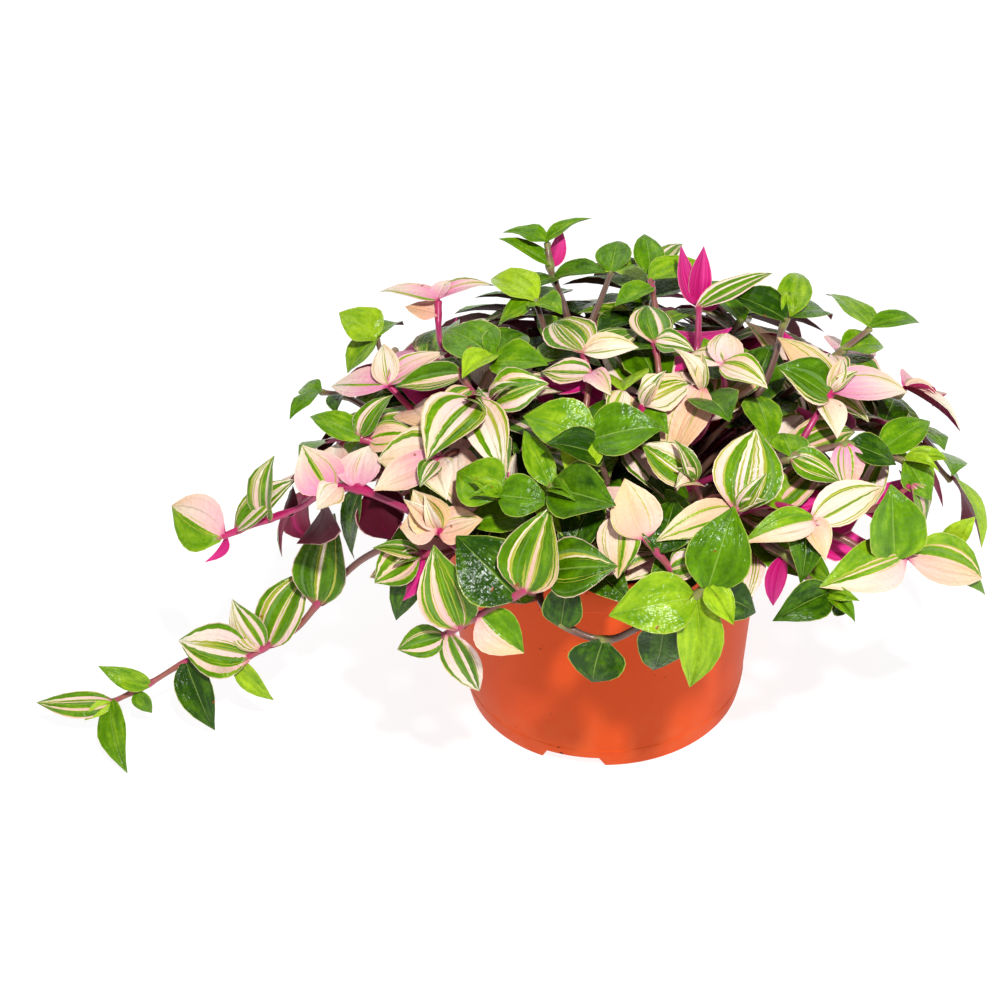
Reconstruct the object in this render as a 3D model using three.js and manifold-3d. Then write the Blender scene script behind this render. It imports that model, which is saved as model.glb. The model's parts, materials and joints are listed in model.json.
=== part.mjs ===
// Potted tradescantia: a 13 cm nursery pot filled with soil, and a dense mound of trailing leafy stems.
// Millimetres, +Z up. The origin is the middle of the pot's foot, and the long trail reaches out along -X.
import * as THREE from "three";
import { mergeVertices } from "three/addons/utils/BufferGeometryUtils.js";
import Module from "manifold-3d";

const wasm = await Module();
wasm.setup();

// Pot
const RIM_RADIUS = 65;
const POT_HEIGHT = 96;
const FOOT_RADIUS = 54;
const WALL = 1.4;
const WALL_FOOT_RADIUS = 55;
const WALL_TOP_RADIUS = 61.6;
const COLLAR_FOOT = 83;
const COLLAR_TAPER = 1;
const COLLAR_LEDGE = 0.6;
const SKIRT_HEIGHT = 5;
const BASE_UNDER = 4;
const FLOOR_TOP = BASE_UNDER + WALL;
const PAD_RADIUS = 14.5;
const MOULD_DRAFT = 0.3;
const POT_SIDES = 32;
const NOTCH_COUNT = 3;
const NOTCH_WIDTH = 25;
const NOTCH_HEIGHT = 4;
const FIRST_NOTCH_BEARING = -104;
const DRAIN_COUNT = 8;
const DRAIN_SIDES = 8;
const DRAIN_RADIUS = 4;
const DRAIN_CIRCLE = 36;
const CUT_MARGIN = 1;

// Soil, and the roots that stand in its holes
const FIT_GAP = 0.35;
const SOIL_TOP = 86;
const ROOT_DEPTH = 14;
const ROOT_REACH = 0.42;
const LEAST_ROOT_RADIUS = 4;
const MOST_ROOT_RADIUS = 50;
const COLLAR_ABOVE_SOIL = 2.5;
const LEAST_RISE_HEIGHT = 116;
const HIDDEN_POINTS = 3;
const HOLE_SIDES = 4;
const HOLE_RADIUS = 3.2;
const HOLE_UNDER_ROOT = 0.6;

// Stems and blades
const STEM_RADIUS = 1.6;
const STEM_SIDES = 4;
const STEM_CLEARANCE = 0.5;
const POT_CLEARANCE = 0.6;
const SAMPLE_STEP = 5;
const BLADE_THICKNESS = 0.7;
const BLADE_ARCH = 0.07;
const BLADE_FOLD = 0.24;
const BASE_SINK = 0.9;
const BLADE_ROWS = [[0.2, 0.86], [0.62, 0.86]];
const MIDRIB_SHARE = 0.45;
const LEAST_ROW_STEP = 0.04;
const SMALLEST_BLADE_WIDTH = 8;
const LEAST_BLADE_HEIGHT = 0.6;

// Room kept round a blade: more thickness and size towards other shoots, and past its root off its own leaves
const ROOM_THICKNESS = 0.5;
const ROOM_SIZE = 1.03;
const OWN_ROOM_THICKNESS = 0.3;
const OWN_ROOM_FROM = 0.3;

// How a root, and a leaf, may be moved to pass clear of its neighbours: degrees, millimetres and shares.
// The costs weigh the moves against each other, so that the slightest is tried first.
const steps = (end, step) => Array.from({ length: (2 * end) / step + 1 }, (_, i) => i * step - end);
const TURN_STEP = 8;
const TILT_STEP = 7;
const SHIFT_STEP = 6;
const ROOT_LIFTS = [0.6, 0.75, 0.45];
const ROOT_SHIFTS = steps(18, SHIFT_STEP);
const ROOT_TURNS = steps(48, TURN_STEP);
const LIFT_COST = 20;
const LEAF_SIZES = [1, 0.9, 0.8, 0.68];
const LEAF_TURNS = steps(48, TURN_STEP);
const LEAF_TILTS = steps(35, TILT_STEP);
const SHRINK_COST = 18;

// The mound that the foliage fills: the middle and the radii of an ellipsoid
const MOUND_MIDDLE = new THREE.Vector3(8, 0, 85);
const MOUND_RADII = new THREE.Vector3(126, 102, 74);

// What a leaf looks like, and whether its underside is turned outwards
const STRIPED = "striped";
const GREEN = "green";
const DARK = "dark";
const LIME = "lime";
const HALF = "half";
const CREAM = "cream";
const PINK = "pink";
const MAGENTA = "magenta";
const DUSKY = "dusky";
const TURNED_OVER = [MAGENTA, DUSKY];

// Leaves face away from the mound and are turned towards the light, which falls from the front and above.
// The shoots at the back get it from above, and the long trail lies flat to it.
const FRONT_LIGHT = new THREE.Vector3(0, -0.4, 0.8);
const BACK_LIGHT = new THREE.Vector3(0, 0.1, 0.8);
const TRAIL_LIGHT = new THREE.Vector3(0.2, -1.6, 2);

// The shoots that face the front, chosen by hand. A stem is the points where it leaves the inside of the mound.
// A leaf is its place along those points, its tip, its look and its width.
const FRONT_SHOOTS = {
  trail_left: {
    colour: STRIPED,
    light: TRAIL_LIGHT,
    stem: [[-60, -36, 106], [-76, -31, 91], [-92, -23, 75], [-108, -22, 56], [-117, -25, 46], [-130, -25, 37],
      [-137, -26, 33], [-163, -21, 26], [-178, -27, 20], [-193, -31, 14]],
    leaves: [
      [3, [-101, -6, 86], STRIPED, 23],
      [4.9, [-113, -9, 62], STRIPED, 20],
      [5.2, [-143, -12, 50], PINK, 15],
      [6, [-166, -19, 35], HALF, 22],
      [6.2, [-129, -31, 14], LIME, 9],
      [7, [-153, -37, 4], DARK, 16],
      [8, [-196, -29, 31], GREEN, 9],
      [8.3, [-178, -31, 8], GREEN, 8],
      [9, [-223, -32, 15], STRIPED, 11],
      [9, [-184, -58, 2], GREEN, 13],
      [9, [-203, -38, 11], LIME, 6],
    ],
  },
  left_pink: {
    colour: PINK,
    stem: [[-57, -56, 115], [-66, -57, 124], [-78, -48, 124], [-85, -43, 124], [-96, -39, 121],
      [-109, -32, 108],
      [-121, -29, 101], [-133, -29, 96], [-139, -30, 94]],
    leaves: [
      [8, [-160, -17, 99], HALF, 22],
      [8, [-147, -30, 82], MAGENTA, 10],
      [7, [-111, -22, 114], STRIPED, 14],
      [6, [-116, -20, 123], STRIPED, 17],
      [5.6, [-112, -29, 116], DUSKY, 9],
      [4, [-105, -33, 136], PINK, 20],
      [4, [-95, -19, 127], PINK, 17],
      [3, [-82, -29, 133], PINK, 17],
      [3.6, [-100, -48, 119], CREAM, 12],
      [4.3, [-111, -27, 88], DUSKY, 18],
      [2.5, [-73, -60, 114], DUSKY, 20],
      [2.8, [-91, -38, 88], DARK, 13],
    ],
  },
  left_cream: {
    colour: STRIPED,
    stem: [[-52, -40, 137], [-56, -50, 139]],
    leaves: [
      [1, [-52, -68, 137], CREAM, 13],
      [1, [-61, -63, 136], STRIPED, 9],
      [0.7, [-78, -40, 134], CREAM, 19],
      [0.9, [-76, -53, 126], PINK, 15],
    ],
  },
  left_peach: {
    colour: PINK,
    stem: [[-50, -66, 115], [-56, -67, 124]],
    leaves: [
      [1, [-69, -66, 124], CREAM, 15],
      [0.9, [-64, -58, 134], CREAM, 15],
      [0.8, [-42, -70, 131], CREAM, 14],
    ],
  },
  left_low: {
    colour: STRIPED,
    stem: [[-56, -62, 109], [-63, -66, 112]],
    leaves: [
      [1, [-79, -70, 103], STRIPED, 16],
      [0.9, [-68, -82, 104], MAGENTA, 12],
      [0.5, [-73, -70, 86], DARK, 13],
    ],
  },
  mid_left_hang: {
    colour: STRIPED,
    stem: [[-52, -4, 147], [-48, -14, 150], [-45, -22, 150], [-43, -31, 151]],
    leaves: [
      [3, [-59, -52, 140], STRIPED, 23],
      [3, [-34, -60, 144], CREAM, 16],
      [2.6, [-28, -53, 140], PINK, 14],
      [2, [-55, -36, 148], STRIPED, 10],
      [0.8, [-73, -11, 146], STRIPED, 14],
    ],
  },
  front_left: {
    colour: STRIPED,
    stem: [[-9, -74, 116], [-16, -81, 117], [-26, -86, 112], [-35, -86, 106], [-42, -85, 100], [-49, -83, 94],
      [-55, -80, 87]],
    leaves: [
      [2, [-17, -75, 138], STRIPED, 22],
      [2.4, [-49, -74, 126], DARK, 25],
      [3.9, [-27, -92, 89], PINK, 17],
      [5, [-57, -74, 122], STRIPED, 21],
      [5.6, [-44, -84, 64], STRIPED, 14],
      [6, [-72, -80, 81], STRIPED, 12],
      [1.2, [5, -88, 123], STRIPED, 21],
    ],
  },
  front_green: {
    colour: GREEN,
    stem: [[-21, -78, 100], [-14, -86, 97], [0, -89, 92], [14, -93, 102], [30, -92, 112], [35, -91, 116]],
    leaves: [
      [2, [-4, -93, 76], DARK, 20],
      [4, [2, -98, 110], GREEN, 21],
      [5, [44, -76, 138], GREEN, 22],
      [4.6, [52, -84, 99], DARK, 15],
      [5, [43, -101, 108], LIME, 10],
      [4.2, [29, -103, 82], LIME, 16],
      [3.4, [17, -90, 78], DARK, 17],
      [1, [-14, -86, 118], DARK, 14],
    ],
  },
  right_low: {
    colour: GREEN,
    stem: [[59, -70, 116], [64, -75, 114], [69, -79, 110], [76, -80, 104]],
    leaves: [
      [0.6, [57, -88, 105], MAGENTA, 12],
      [3, [57, -92, 102], DARK, 14],
      [3, [85, -78, 98], DARK, 14],
    ],
  },
  mid_right_pair: {
    colour: STRIPED,
    stem: [[37, -69, 121], [46, -71, 133]],
    leaves: [
      [1, [53, -48, 150], STRIPED, 24],
      [0.9, [18, -82, 129], CREAM, 13],
    ],
  },
  right_pink: {
    colour: PINK,
    stem: [[64, -61, 126], [71, -69, 126]],
    leaves: [
      [1, [47, -80, 126], PINK, 12],
      [1, [97, -51, 127], PINK, 15],
      [1, [78, -64, 130], MAGENTA, 9],
      [0.5, [66, -80, 108], DARK, 13],
      [0.8, [76, -76, 115], PINK, 10],
    ],
  },
  right_stem: {
    colour: GREEN,
    stem: [[56, -49, 135], [65, -49, 138], [86, -39, 136], [97, -36, 131], [106, -36, 127]],
    leaves: [
      [2, [103, -39, 128], DARK, 13],
      [3, [118, -14, 129], GREEN, 13],
      [4, [115, -44, 116], GREEN, 15],
      [1.9, [85, -53, 126], PINK, 13],
      [1, [82, -53, 131], STRIPED, 13],
      [1, [63, -36, 140], GREEN, 14],
    ],
  },
  far_right: {
    colour: STRIPED,
    stem: [[83, -62, 113], [95, -65, 107], [103, -62, 105], [114, -49, 99], [121, -45, 98]],
    leaves: [
      [2, [73, -83, 109], HALF, 19],
      [2.2, [135, -53, 88], HALF, 19],
      [3, [137, -50, 78], GREEN, 11],
      [4, [131, -44, 108], LIME, 9],
      [1.6, [98, -52, 129], GREEN, 24],
    ],
  },
  far_right_droop: {
    colour: STRIPED,
    stem: [[99, -46, 116], [107, -44, 122]],
    leaves: [
      [1, [124, -47, 100], STRIPED, 13],
      [1, [113, -32, 120], GREEN, 11],
    ],
  },
  right_back_green: {
    colour: GREEN,
    stem: [[79, 0, 143], [89, 15, 141], [95, 20, 143], [100, 25, 144]],
    leaves: [
      [3, [87, 55, 143], GREEN, 13],
      [3, [122, 43, 136], GREEN, 9],
      [1, [107, 30, 134], GREEN, 13],
      [0.6, [86, -10, 144], CREAM, 10],
    ],
  },
  right_star: {
    colour: PINK,
    stem: [[70, -34, 135], [74, -30, 140], [81, -19, 145]],
    leaves: [
      [2, [111, -6, 137], PINK, 16],
      [2, [64, 2, 156], PINK, 15],
      [1.8, [60, -17, 152], STRIPED, 21],
      [1.7, [82, -37, 138], CREAM, 11],
    ],
  },
  right_top_green: {
    colour: GREEN,
    stem: [[58, -15, 146], [62, -5, 149], [67, 17, 150], [69, 24, 150]],
    leaves: [
      [3, [89, 45, 138], GREEN, 15],
      [3, [76, 55, 149], LIME, 13],
      [2.6, [46, 31, 157], DARK, 18],
      [2, [72, 8, 147], MAGENTA, 9],
    ],
  },
  top_lime: {
    colour: GREEN,
    stem: [[-3, 9, 156], [1, 26, 158], [5, 49, 156]],
    leaves: [
      [2, [8, 70, 159], GREEN, 14],
      [2, [22, 60, 153], GREEN, 9],
      [2, [-9, 58, 152], LIME, 9],
    ],
  },
  top_striped: {
    colour: STRIPED,
    stem: [[21, 15, 156], [20, 33, 158], [20, 47, 156]],
    leaves: [
      [2, [33, 70, 157], STRIPED, 9],
      [2, [18, 69, 155], GREEN, 12],
      [1.5, [40, 55, 154], GREEN, 14],
      [1, [6, 22, 158], GREEN, 10],
    ],
  },
  top_magenta: {
    colour: PINK,
    stem: [[35, -3, 155], [36, 9, 158], [37, 26, 156]],
    leaves: [
      [2, [31, 44, 170], MAGENTA, 13],
      [2, [39, 42, 169], MAGENTA, 14],
      [2, [47, 36, 155], MAGENTA, 11],
      [1.6, [61, 50, 153], STRIPED, 10],
    ],
  },
  top_shoot: {
    colour: GREEN,
    stem: [[-11, 17, 155], [-15, 42, 154], [-18, 55, 156], [-19, 61, 163]],
    leaves: [
      [3, [-36, 66, 166], GREEN, 11],
      [3, [-2, 66, 171], GREEN, 9],
      [2.1, [-16, 62, 171], MAGENTA, 12],
      [2, [-36, 62, 168], GREEN, 9],
      [1.4, [-25, 36, 157], DARK, 11],
      [1.4, [4, 42, 158], DARK, 13],
    ],
  },
  top_left_green: {
    colour: GREEN,
    stem: [[-19, 9, 154], [-23, 29, 156]],
    leaves: [
      [1, [-40, 50, 152], LIME, 16],
      [1, [-38, 23, 154], GREEN, 12],
      [0.9, [-13, 12, 161], GREEN, 12],
    ],
  },
  left_mid_green: {
    colour: GREEN,
    stem: [[-35, -17, 148], [-38, -6, 154]],
    leaves: [
      [1, [-56, 18, 152], GREEN, 21],
      [1, [-48, -20, 155], LIME, 12],
      [0.9, [-26, 12, 158], DARK, 17],
      [0.8, [-18, -17, 158], GREEN, 17],
    ],
  },
  mid_striped: {
    colour: STRIPED,
    stem: [[-42, -30, 138], [-37, -30, 150]],
    leaves: [
      [1, [-18, -31, 158], STRIPED, 19],
    ],
  },
  left_pink_top: {
    colour: PINK,
    stem: [[-58, 19, 144], [-60, 32, 145], [-60, 38, 152]],
    leaves: [
      [2, [-83, 46, 153], PINK, 10],
      [2, [-57, 48, 156], PINK, 8],
      [2, [-39, 46, 154], PINK, 10],
      [1.4, [-73, 40, 149], CREAM, 13],
    ],
  },
  left_star: {
    colour: PINK,
    stem: [[-71, -6, 136], [-76, -3, 141]],
    leaves: [
      [1, [-100, 12, 132], PINK, 15],
      [1, [-78, 16, 144], CREAM, 11],
      [1, [-55, 8, 148], PINK, 13],
    ],
  },
  left_striped_up: {
    colour: STRIPED,
    stem: [[-77, -27, 131], [-85, -25, 133]],
    leaves: [
      [1, [-74, -12, 143], STRIPED, 12],
      [1, [-89, -7, 133], STRIPED, 14],
      [0.9, [-102, -8, 126], GREEN, 11],
      [0.5, [-66, -35, 141], CREAM, 14],
    ],
  },
  far_left_dark: {
    colour: GREEN,
    stem: [[-84, 2, 127], [-95, 12, 127], [-105, 20, 124]],
    leaves: [
      [2, [-116, 6, 122], GREEN, 10],
      [2, [-115, 31, 119], GREEN, 9],
      [1, [-97, -2, 129], DARK, 10],
    ],
  },
  left_top_green: {
    colour: GREEN,
    stem: [[-78, 19, 134], [-85, 42, 133]],
    leaves: [
      [1, [-100, 52, 140], GREEN, 17],
      [1, [-76, 56, 132], GREEN, 15],
      [1, [-97, 34, 124], GREEN, 18],
    ],
  },
  mid_green: {
    colour: GREEN,
    stem: [[1, -57, 140], [-3, -53, 149]],
    leaves: [
      [1, [21, -52, 154], GREEN, 21],
      [1, [-26, -44, 154], GREEN, 20],
      [1, [-11, -66, 145], LIME, 15],
      [0.5, [-22, -59, 147], DARK, 16],
      [0.6, [2, -33, 154], DARK, 15],
    ],
  },
  mid_glossy: {
    colour: GREEN,
    stem: [[-27, -65, 131], [-34, -67, 137]],
    leaves: [
      [1, [-49, -56, 140], GREEN, 20],
      [1, [-17, -70, 137], GREEN, 16],
    ],
  },
  mid_dark: {
    colour: GREEN,
    stem: [[-21, -56, 138], [-16, -66, 139]],
    leaves: [
      [1, [6, -76, 136], GREEN, 21],
      [0.8, [-26, -46, 150], LIME, 10],
    ],
  },
  top_white: {
    colour: STRIPED,
    stem: [[-4, -18, 154], [-5, -13, 159]],
    leaves: [
      [1, [-17, 14, 161], STRIPED, 19],
      [1, [14, -12, 161], CREAM, 12],
      [0.8, [16, 6, 160], STRIPED, 12],
    ],
  },
  mid_curl: {
    colour: STRIPED,
    stem: [[-5, -34, 148], [-3, -24, 157]],
    leaves: [
      [1, [-21, -17, 157], STRIPED, 13],
      [1, [4, -38, 158], PINK, 9],
      [0.9, [-16, -2, 159], MAGENTA, 13],
    ],
  },
  mid_lime: {
    colour: GREEN,
    stem: [[5, -42, 148], [8, -34, 156]],
    leaves: [
      [1, [8, -11, 158], LIME, 19],
      [1, [-11, -41, 153], CREAM, 12],
    ],
  },
  mid_pink: {
    colour: PINK,
    stem: [[12, -43, 146], [15, -39, 154]],
    leaves: [
      [1, [32, -29, 157], PINK, 16],
      [0.7, [23, -49, 149], GREEN, 10],
    ],
  },
  mid_cream_hang: {
    colour: PINK,
    stem: [[37, -34, 146], [35, -31, 155]],
    leaves: [
      [1, [23, -58, 150], CREAM, 17],
      [0.6, [44, -52, 148], DARK, 18],
    ],
  },
  mid_cream_low: {
    colour: STRIPED,
    stem: [[34, -61, 128], [31, -63, 139]],
    leaves: [
      [1, [14, -54, 149], STRIPED, 16],
      [0.9, [25, -75, 146], CREAM, 10],
    ],
  },
  top_cream_star: {
    colour: PINK,
    stem: [[44, -19, 147], [43, -18, 156]],
    leaves: [
      [1, [46, 1, 159], CREAM, 13],
      [1, [58, -29, 154], PINK, 14],
      [1, [30, -7, 156], CREAM, 12],
    ],
  },
  top_mid_green: {
    colour: STRIPED,
    stem: [[21, -16, 152], [20, -7, 159]],
    leaves: [
      [1, [18, 15, 162], STRIPED, 15],
      [1, [34, -8, 158], STRIPED, 12],
      [0.8, [4, 4, 157], DARK, 12],
    ],
  },
  mid_bare_stem: {
    colour: STRIPED,
    stem: [[0, -65, 134], [5, -72, 134], [14, -80, 129], [23, -85, 119]],
    leaves: [
      [2, [8, -69, 145], CREAM, 18],
      [1.2, [5, -90, 120], CREAM, 15],
      [3, [33, -87, 125], STRIPED, 11],
      [2.5, [25, -70, 139], DARK, 18],
    ],
  },
};

// The shoots on the far side, set out by rule: a bearing round the mound and a height up it, both in degrees.
const BACK_SHOOTS = [
  { bearing: 2, height: 4, colour: GREEN },
  { bearing: 24, height: -8, colour: STRIPED },
  { bearing: 50, height: 0, colour: PINK },
  { bearing: 74, height: -12, colour: GREEN },
  { bearing: 98, height: -2, colour: STRIPED },
  { bearing: 122, height: -14, colour: PINK },
  { bearing: 146, height: -2, colour: GREEN },
  { bearing: 172, height: -4, colour: STRIPED },
  { bearing: 18, height: 24, colour: PINK },
  { bearing: 62, height: 26, colour: GREEN },
  { bearing: 88, height: 22, colour: STRIPED },
  { bearing: 116, height: 26, colour: GREEN },
  { bearing: 140, height: 22, colour: PINK },
  { bearing: 84, height: 48, colour: GREEN },
];
const BACK_SWAY = 7;
const BACK_CLIMB = 18;
const BACK_START = 0.88;
const BACK_END = 0.98;
const BACK_LEAF_LIFT = 0.22;
const BACK_LEAF_CHANGE = 0.05;
const BACK_LEAVES = [
  { at: 1, swing: 38, length: 29, width: 18 },
  { at: 1, swing: -46, length: 31, width: 19 },
  { at: 0.55, swing: 82, length: 31, width: 20 },
  { at: 0.3, swing: -78, length: 32, width: 21 },
  { at: 0.05, swing: 60, length: 30, width: 20 },
];
const BACK_LOOKS = {
  [GREEN]: [LIME, GREEN, GREEN, DARK, DARK],
  [STRIPED]: [STRIPED, STRIPED, HALF, STRIPED, GREEN],
  [PINK]: [PINK, CREAM, MAGENTA, PINK, STRIPED],
};

const BLADE_COLOUR = { [GREEN]: 0x5c8a1e, [STRIPED]: 0xb8c48a, [PINK]: 0xe6a8b8 };
const POT_COLOUR = 0xd25a30;
const SOIL_COLOUR = 0x2b1d14;
const BLADE_ROUGHNESS = 0.35;
const POT_ROUGHNESS = 0.42;
const SOIL_ROUGHNESS = 0.95;

const radians = (degrees) => (degrees * Math.PI) / 180;
const vector = (xyz) => new THREE.Vector3(...xyz);

// A three.js geometry as a solid, with its shared vertices merged.
function solidFrom(geometry) {
  const bare = geometry.index ? geometry.toNonIndexed() : geometry.clone();
  bare.deleteAttribute("normal");
  bare.deleteAttribute("uv");
  const merged = mergeVertices(bare, 1e-4);
  return new wasm.Manifold(new wasm.Mesh({
    numProp: 3,
    vertProperties: merged.attributes.position.array,
    triVerts: new Uint32Array(merged.index.array),
  }));
}

// A solid as a named mesh of one colour.
function meshFrom(name, solid, colour, roughness) {
  const data = solid.getMesh();
  const geometry = new THREE.BufferGeometry();
  geometry.setAttribute("position", new THREE.BufferAttribute(new Float32Array(data.vertProperties), 3));
  geometry.setIndex(new THREE.BufferAttribute(new Uint32Array(data.triVerts), 1));
  geometry.computeVertexNormals();
  const material = new THREE.MeshStandardMaterial({ color: colour, roughness, metalness: 0 });
  const mesh = new THREE.Mesh(geometry, material);
  mesh.name = name;
  return mesh;
}

// A profile of [radius, height] pairs turned about the pot's axis.
function turned(profile) {
  const points = profile.map(([radius, height]) => new THREE.Vector2(radius, height));
  const lathe = new THREE.LatheGeometry(points, POT_SIDES);
  lathe.rotateX(Math.PI / 2);
  return solidFrom(lathe);
}

// A straight upright prism with the given outline, from one height to another.
function prism(outline, low, high) {
  const shape = new THREE.Shape(outline.map(([x, y]) => new THREE.Vector2(x, y)));
  const geometry = new THREE.ExtrudeGeometry(shape, { depth: high - low, bevelEnabled: false });
  geometry.translate(0, 0, low);
  return geometry;
}

function polygon(radius, sides, x, y) {
  return Array.from({ length: sides }, (_, i) => {
    const angle = (2 * Math.PI * i) / sides;
    return [x + radius * Math.cos(angle), y + radius * Math.sin(angle)];
  });
}

// The wall's outer radius at a height below the collar.
function wallRadius(height) {
  return WALL_FOOT_RADIUS + ((WALL_TOP_RADIUS - WALL_FOOT_RADIUS) * height) / COLLAR_FOOT;
}

// A notch in the foot ring: a trapezium, cut through the skirt along a radius.
function notchCutter(bearing) {
  const half = NOTCH_WIDTH / 2;
  const inner = half - NOTCH_HEIGHT;
  const outline = [[-half, -CUT_MARGIN], [half, -CUT_MARGIN], [inner, NOTCH_HEIGHT], [-inner, NOTCH_HEIGHT]];
  const reach = SKIRT_HEIGHT + WALL;
  const cutter = prism(outline, 0, reach + CUT_MARGIN);
  cutter.rotateX(Math.PI / 2);
  cutter.rotateZ(Math.PI / 2);
  cutter.translate(FOOT_RADIUS - reach, 0, 0);
  cutter.rotateZ(radians(bearing));
  return solidFrom(cutter);
}

function potSolid() {
  let pot = turned([
    [0, 0],
    [PAD_RADIUS, 0],
    [PAD_RADIUS + MOULD_DRAFT, BASE_UNDER],
    [FOOT_RADIUS - WALL - MOULD_DRAFT, BASE_UNDER],
    [FOOT_RADIUS - WALL, 0],
    [FOOT_RADIUS, 0],
    [wallRadius(SKIRT_HEIGHT), SKIRT_HEIGHT],
    [WALL_TOP_RADIUS, COLLAR_FOOT],
    [RIM_RADIUS - COLLAR_TAPER, COLLAR_FOOT + COLLAR_LEDGE],
    [RIM_RADIUS, POT_HEIGHT],
    [RIM_RADIUS - WALL, POT_HEIGHT],
    [RIM_RADIUS - WALL - COLLAR_TAPER, COLLAR_FOOT + WALL],
    [WALL_TOP_RADIUS - WALL, COLLAR_FOOT - WALL],
    [wallRadius(FLOOR_TOP) - WALL, FLOOR_TOP],
    [0, FLOOR_TOP],
  ]);
  for (let i = 0; i < NOTCH_COUNT; i++) {
    pot = pot.subtract(notchCutter(FIRST_NOTCH_BEARING + (360 * i) / NOTCH_COUNT));
  }
  for (const [x, y] of polygon(DRAIN_CIRCLE, DRAIN_COUNT, 0, 0)) {
    const hole = polygon(DRAIN_RADIUS, DRAIN_SIDES, x, y);
    pot = pot.subtract(solidFrom(prism(hole, BASE_UNDER - CUT_MARGIN, FLOOR_TOP + CUT_MARGIN)));
  }
  return pot;
}

function soilSolid() {
  const shoulder = COLLAR_FOOT - WALL;
  return turned([
    [0, FLOOR_TOP + FIT_GAP],
    [wallRadius(FLOOR_TOP) - WALL - FIT_GAP, FLOOR_TOP + FIT_GAP],
    [WALL_TOP_RADIUS - WALL - FIT_GAP, shoulder],
    [RIM_RADIUS - WALL - COLLAR_TAPER - FIT_GAP, SOIL_TOP],
    [0, SOIL_TOP],
  ]);
}

// A stem's middle line: a Catmull-Rom curve with even knots through its points.
class StemPath extends THREE.Curve {
  constructor(points) {
    super();
    this.points = points;
  }

  getPoint(t, target = new THREE.Vector3()) {
    const last = this.points.length - 1;
    const place = t * last;
    const i = Math.min(Math.floor(place), last - 1);
    const f = place - i;
    const a = this.points[Math.max(i - 1, 0)];
    const b = this.points[i];
    const c = this.points[i + 1];
    const d = this.points[Math.min(i + 2, last)];
    const blend = (p, q, r, s) =>
      0.5 * (2 * q + (r - p) * f + (2 * p - 5 * q + 4 * r - s) * f * f + (3 * q - p - 3 * r + s) * f * f * f);
    return target.set(blend(a.x, b.x, c.x, d.x), blend(a.y, b.y, c.y, d.y), blend(a.z, b.z, c.z, d.z));
  }

  // Steps along the curve are even in its own parameter, so that a stem's rings stand at its points.
  getUtoTmapping(u) {
    return u;
  }

  // The place of a leaf's joint, counted along the visible points, which follow the hidden ones.
  at(place) {
    const i = Math.min(Math.floor(place), this.points.length - HIDDEN_POINTS - 2);
    return this.points[i + HIDDEN_POINTS].clone().lerp(this.points[i + HIDDEN_POINTS + 1], place - i);
  }
}

// A point on the mound by its bearing and height in degrees, with the mound scaled about its middle.
function moundPoint(bearing, height, scale) {
  const b = radians(bearing);
  const h = radians(height);
  return new THREE.Vector3(Math.cos(h) * Math.cos(b), Math.cos(h) * Math.sin(b), Math.sin(h))
    .multiply(MOUND_RADII)
    .multiplyScalar(scale)
    .add(MOUND_MIDDLE);
}

function moundNormal(point) {
  return point.clone().sub(MOUND_MIDDLE).divide(MOUND_RADII).divide(MOUND_RADII).normalize();
}

// The root in the soil and the rise inside the mound that bring a stem to its first visible point.
function rootAndRise(first, { turn, shift, lift }) {
  const reach = Math.hypot(first.x, first.y);
  const bearing = Math.atan2(first.y, first.x) + radians(turn);
  const radius = THREE.MathUtils.clamp(ROOT_REACH * reach + shift, LEAST_ROOT_RADIUS, MOST_ROOT_RADIUS);
  const root = new THREE.Vector3(radius * Math.cos(bearing), radius * Math.sin(bearing), SOIL_TOP - ROOT_DEPTH);
  const collar = root.clone().setZ(SOIL_TOP + COLLAR_ABOVE_SOIL);
  const rise = root.clone().lerp(first, 0.5);
  rise.setZ(SOIL_TOP + lift * (Math.max(first.z, LEAST_RISE_HEIGHT) - SOIL_TOP));
  return [root, collar, rise];
}

// The slightly different roots and rises that a stem may take, the plainest first.
function rootTries() {
  const tries = ROOT_LIFTS.flatMap((lift) =>
    ROOT_SHIFTS.flatMap((shift) => ROOT_TURNS.map((turn) => ({ turn, shift, lift }))));
  const lifting = (t) => Math.abs(t.lift - ROOT_LIFTS[0]) * LIFT_COST;
  const cost = (t) => Math.abs(t.turn) / TURN_STEP + Math.abs(t.shift) / SHIFT_STEP + lifting(t);
  return tries.sort((p, q) => cost(p) - cost(q));
}

// Points a few millimetres apart on a stem's faceted middle line.
function sampleStem(path) {
  return path.points.slice(1).flatMap((end, i) => {
    const start = path.points[i];
    const count = Math.ceil(start.distanceTo(end) / SAMPLE_STEP);
    return Array.from({ length: count }, (_, k) => start.clone().lerp(end, (k + 1) / count));
  });
}

// The least distance between two stems' middle lines.
function stemDistance(one, other) {
  let least = Infinity;
  const segment = new THREE.Line3();
  const nearest = new THREE.Vector3();
  for (let i = 1; i < other.length; i++) {
    segment.set(other[i - 1], other[i]);
    for (const point of one) {
      segment.closestPointToPoint(point, true, nearest);
      least = Math.min(least, nearest.distanceTo(point));
    }
  }
  return least;
}

// Whether a stem stays off the pot's wall and rim.
function clearOfPot(samples) {
  const room = STEM_RADIUS + POT_CLEARANCE;
  return samples.every((p) => {
    const radius = Math.hypot(p.x, p.y);
    if (p.z > POT_HEIGHT + room) return true;
    return radius < wallRadius(Math.min(p.z, COLLAR_FOOT)) - WALL - room || radius > RIM_RADIUS + room;
  });
}

function stemSolid(path) {
  const outline = polygon(STEM_RADIUS, STEM_SIDES, 0, 0).map(([x, y]) => new THREE.Vector2(x, y));
  return solidFrom(new THREE.ExtrudeGeometry(new THREE.Shape(outline), {
    extrudePath: path,
    steps: path.points.length - 1,
    bevelEnabled: false,
  }));
}

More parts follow.
